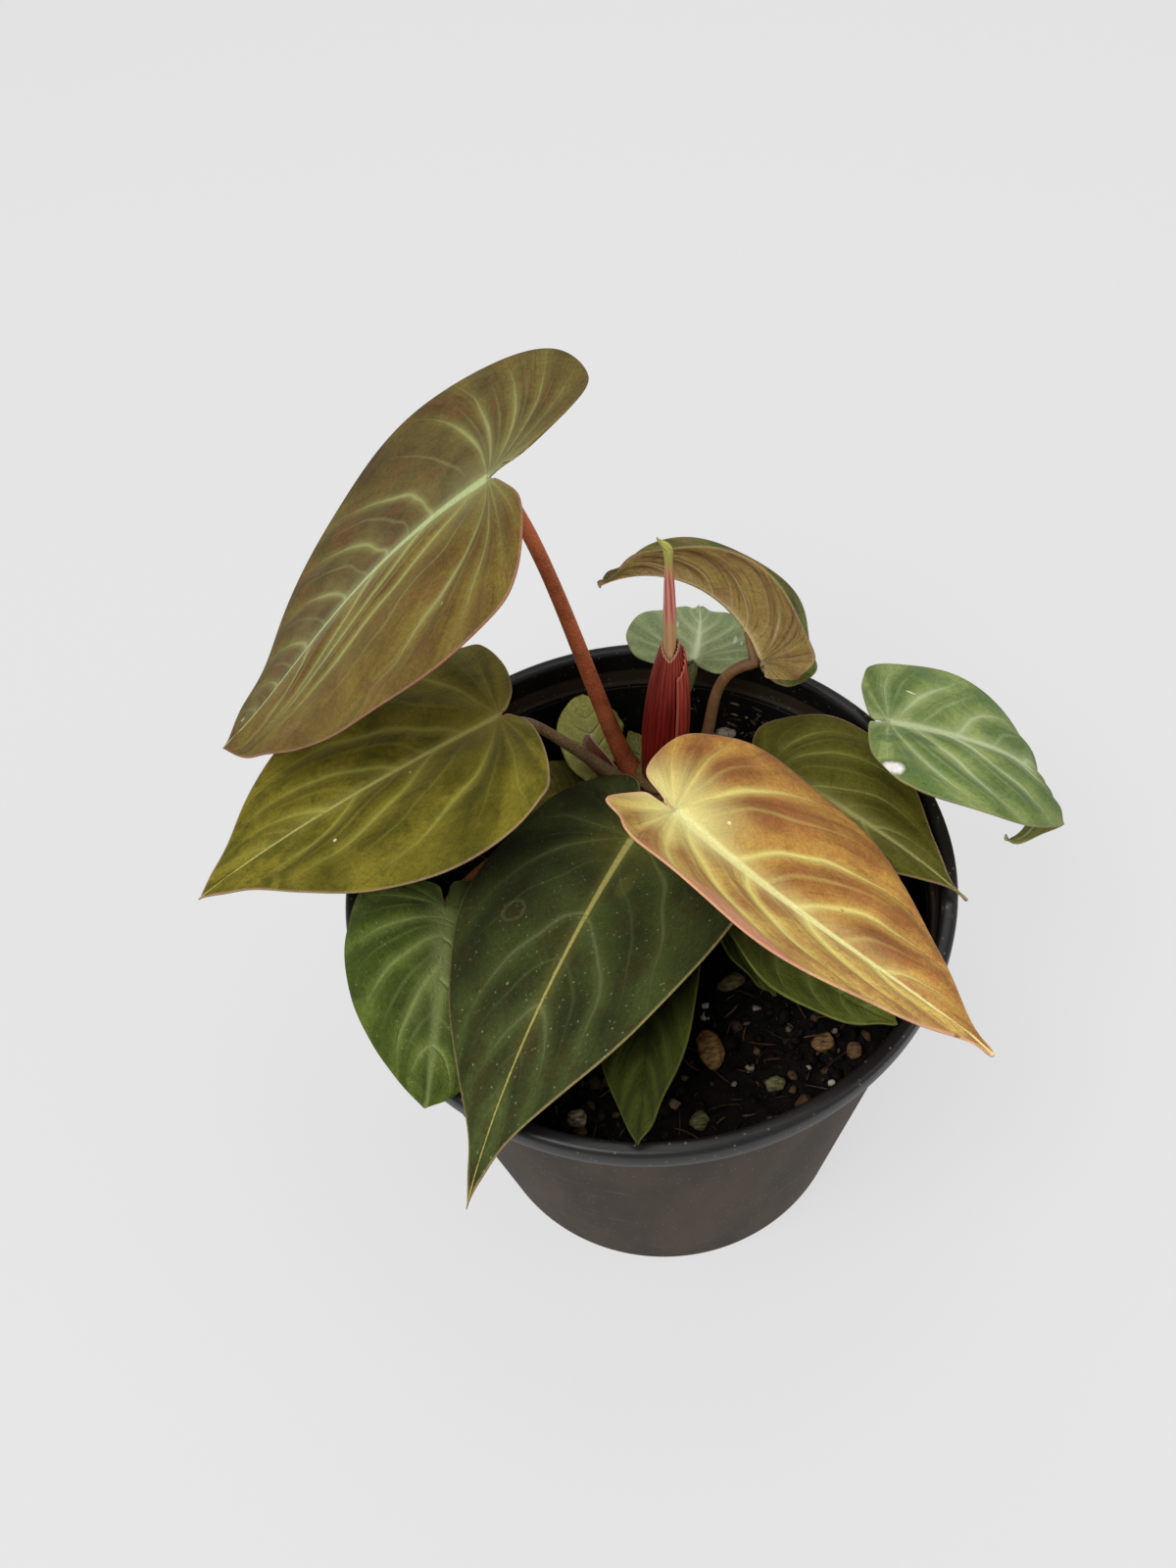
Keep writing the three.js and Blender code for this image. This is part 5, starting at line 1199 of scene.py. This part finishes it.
def chunk_pieces(generator):
    ball, faces = icosphere(3)
    for name, (at, size, turn, colour) in CHUNKS.items():
        waves = generator.normal(size=(6, 3)) * 3
        knock = sum(np.sin(ball @ w + generator.random() * 6) for w in waves) * 0.045
        shape = ball * (0.97 + knock)[:, None]
        shape = np.sign(shape) * np.abs(shape) ** 0.85 * np.array(size)
        shape = shape @ np.array(turned(turn, "Z")).T
        z = float(soil_height(*np.array(at))) + 0.1 - shape[:, 2].min()
        shader = Shader(name + "_skin")
        grain = shader.noise(shader.stretched(shader.place(), (1, 3, 3)), 420, 5.0, 0.65)
        tone = shader.mix(shader.step(grain, 0.35, 0.7), colour, "3a2c1c")
        material = shader.finish(tone, 0.7, 0.3, grain, 0.5)
        make_piece(name + "_rough", name, shape + np.array((*at, z)), faces, [material])


def stem_piece():
    profile = [(0.01, STEM_ROOT), (STEM_FOOT - 2, STEM_ROOT), (STEM_FOOT, STEM_ROOT + 2.4),
               (STEM_FOOT, SOIL_LEVEL)]
    for s in np.linspace(0.05, 1, 40):
        scars = 0.25 * math.sin(s * 40)
        profile.append((STEM_FOOT - (STEM_FOOT - STEM_HEAD) * s + scars, SOIL_LEVEL + STEM_HEIGHT * s))
    profile += [(5.4, STEM_TOP + 0.2), (0.01, STEM_TOP + 0.3)]
    points, faces = lathe(profile, 64)
    points += np.array((STEM_X, STEM_Y, 0))
    make_piece("short_stem", "stem", points, faces, [stalk_shader("short_stem", "7a6238", "4f3c24")])


# Floor and lights
def make_floor():
    data = bpy.data.meshes.new("floor")
    data.from_pydata([(-3, -3, 0), (3, -3, 0), (3, 3, 0), (-3, 3, 0)], [], [(0, 1, 2, 3)])
    pale = Shader("floor").finish((0.14, 0.14, 0.14, 1), 0.9, 0.0, Emission_Strength=0.63,
                                  Emission_Color=(1, 1, 1, 1))
    data.materials.append(pale)
    floor = add_object("floor", data)


def make_light(name, place, size, power):
    data = bpy.data.lights.new(name, "AREA")
    data.shape = "SQUARE"
    data.size = size
    data.energy = power
    light = add_object(name, data)
    light.location = place
    target = Vector((0, 0, 0.12))
    light.rotation_euler = (target - Vector(place)).to_track_quat("-Z", "Y").to_euler()


def make_world(strength):
    world = bpy.data.worlds.new("studio")
    world.use_nodes = True
    colour, power = world.node_tree.nodes["Background"].inputs[:2]
    colour.default_value = (1, 1, 1, 1)
    power.default_value = strength
    bpy.context.scene.world = world


make_camera()
for leaf_name, leaf_values in LEAVES.items():
    whole_leaf = {**PLAIN_LEAF, **leaf_values}
    blade_piece(leaf_name, whole_leaf, {**PLAIN_LOOK, **LOOKS[leaf_name]})
    petiole_piece(leaf_name, whole_leaf)
sheath_sheet("sheath_inner", "cataphyll_inner", (20, 380), inner_top, 0.0, INNER_COLOURS)
sheath_sheet("sheath_outer", "cataphyll_outer", (-70, 75), outer_top, 0.75, OUTER_COLOURS)
spike_piece()
stub_piece()
pot_piece()
mix_generator = np.random.default_rng(SEED)
soil_piece(mix_generator)
crumbs(mix_generator)
chunk_pieces(np.random.default_rng(SEED + 1))
stem_piece()

make_floor()
make_light("key", (-0.6, -0.6, 1.5), 0.8, 16)
make_light("fill", (1.2, -0.5, 0.9), 1.0, 4)
make_light("top", (0.1, 0.5, 1.6), 1.0, 6)
make_world(0.48)
bpy.context.scene.view_settings.view_transform = "Standard"
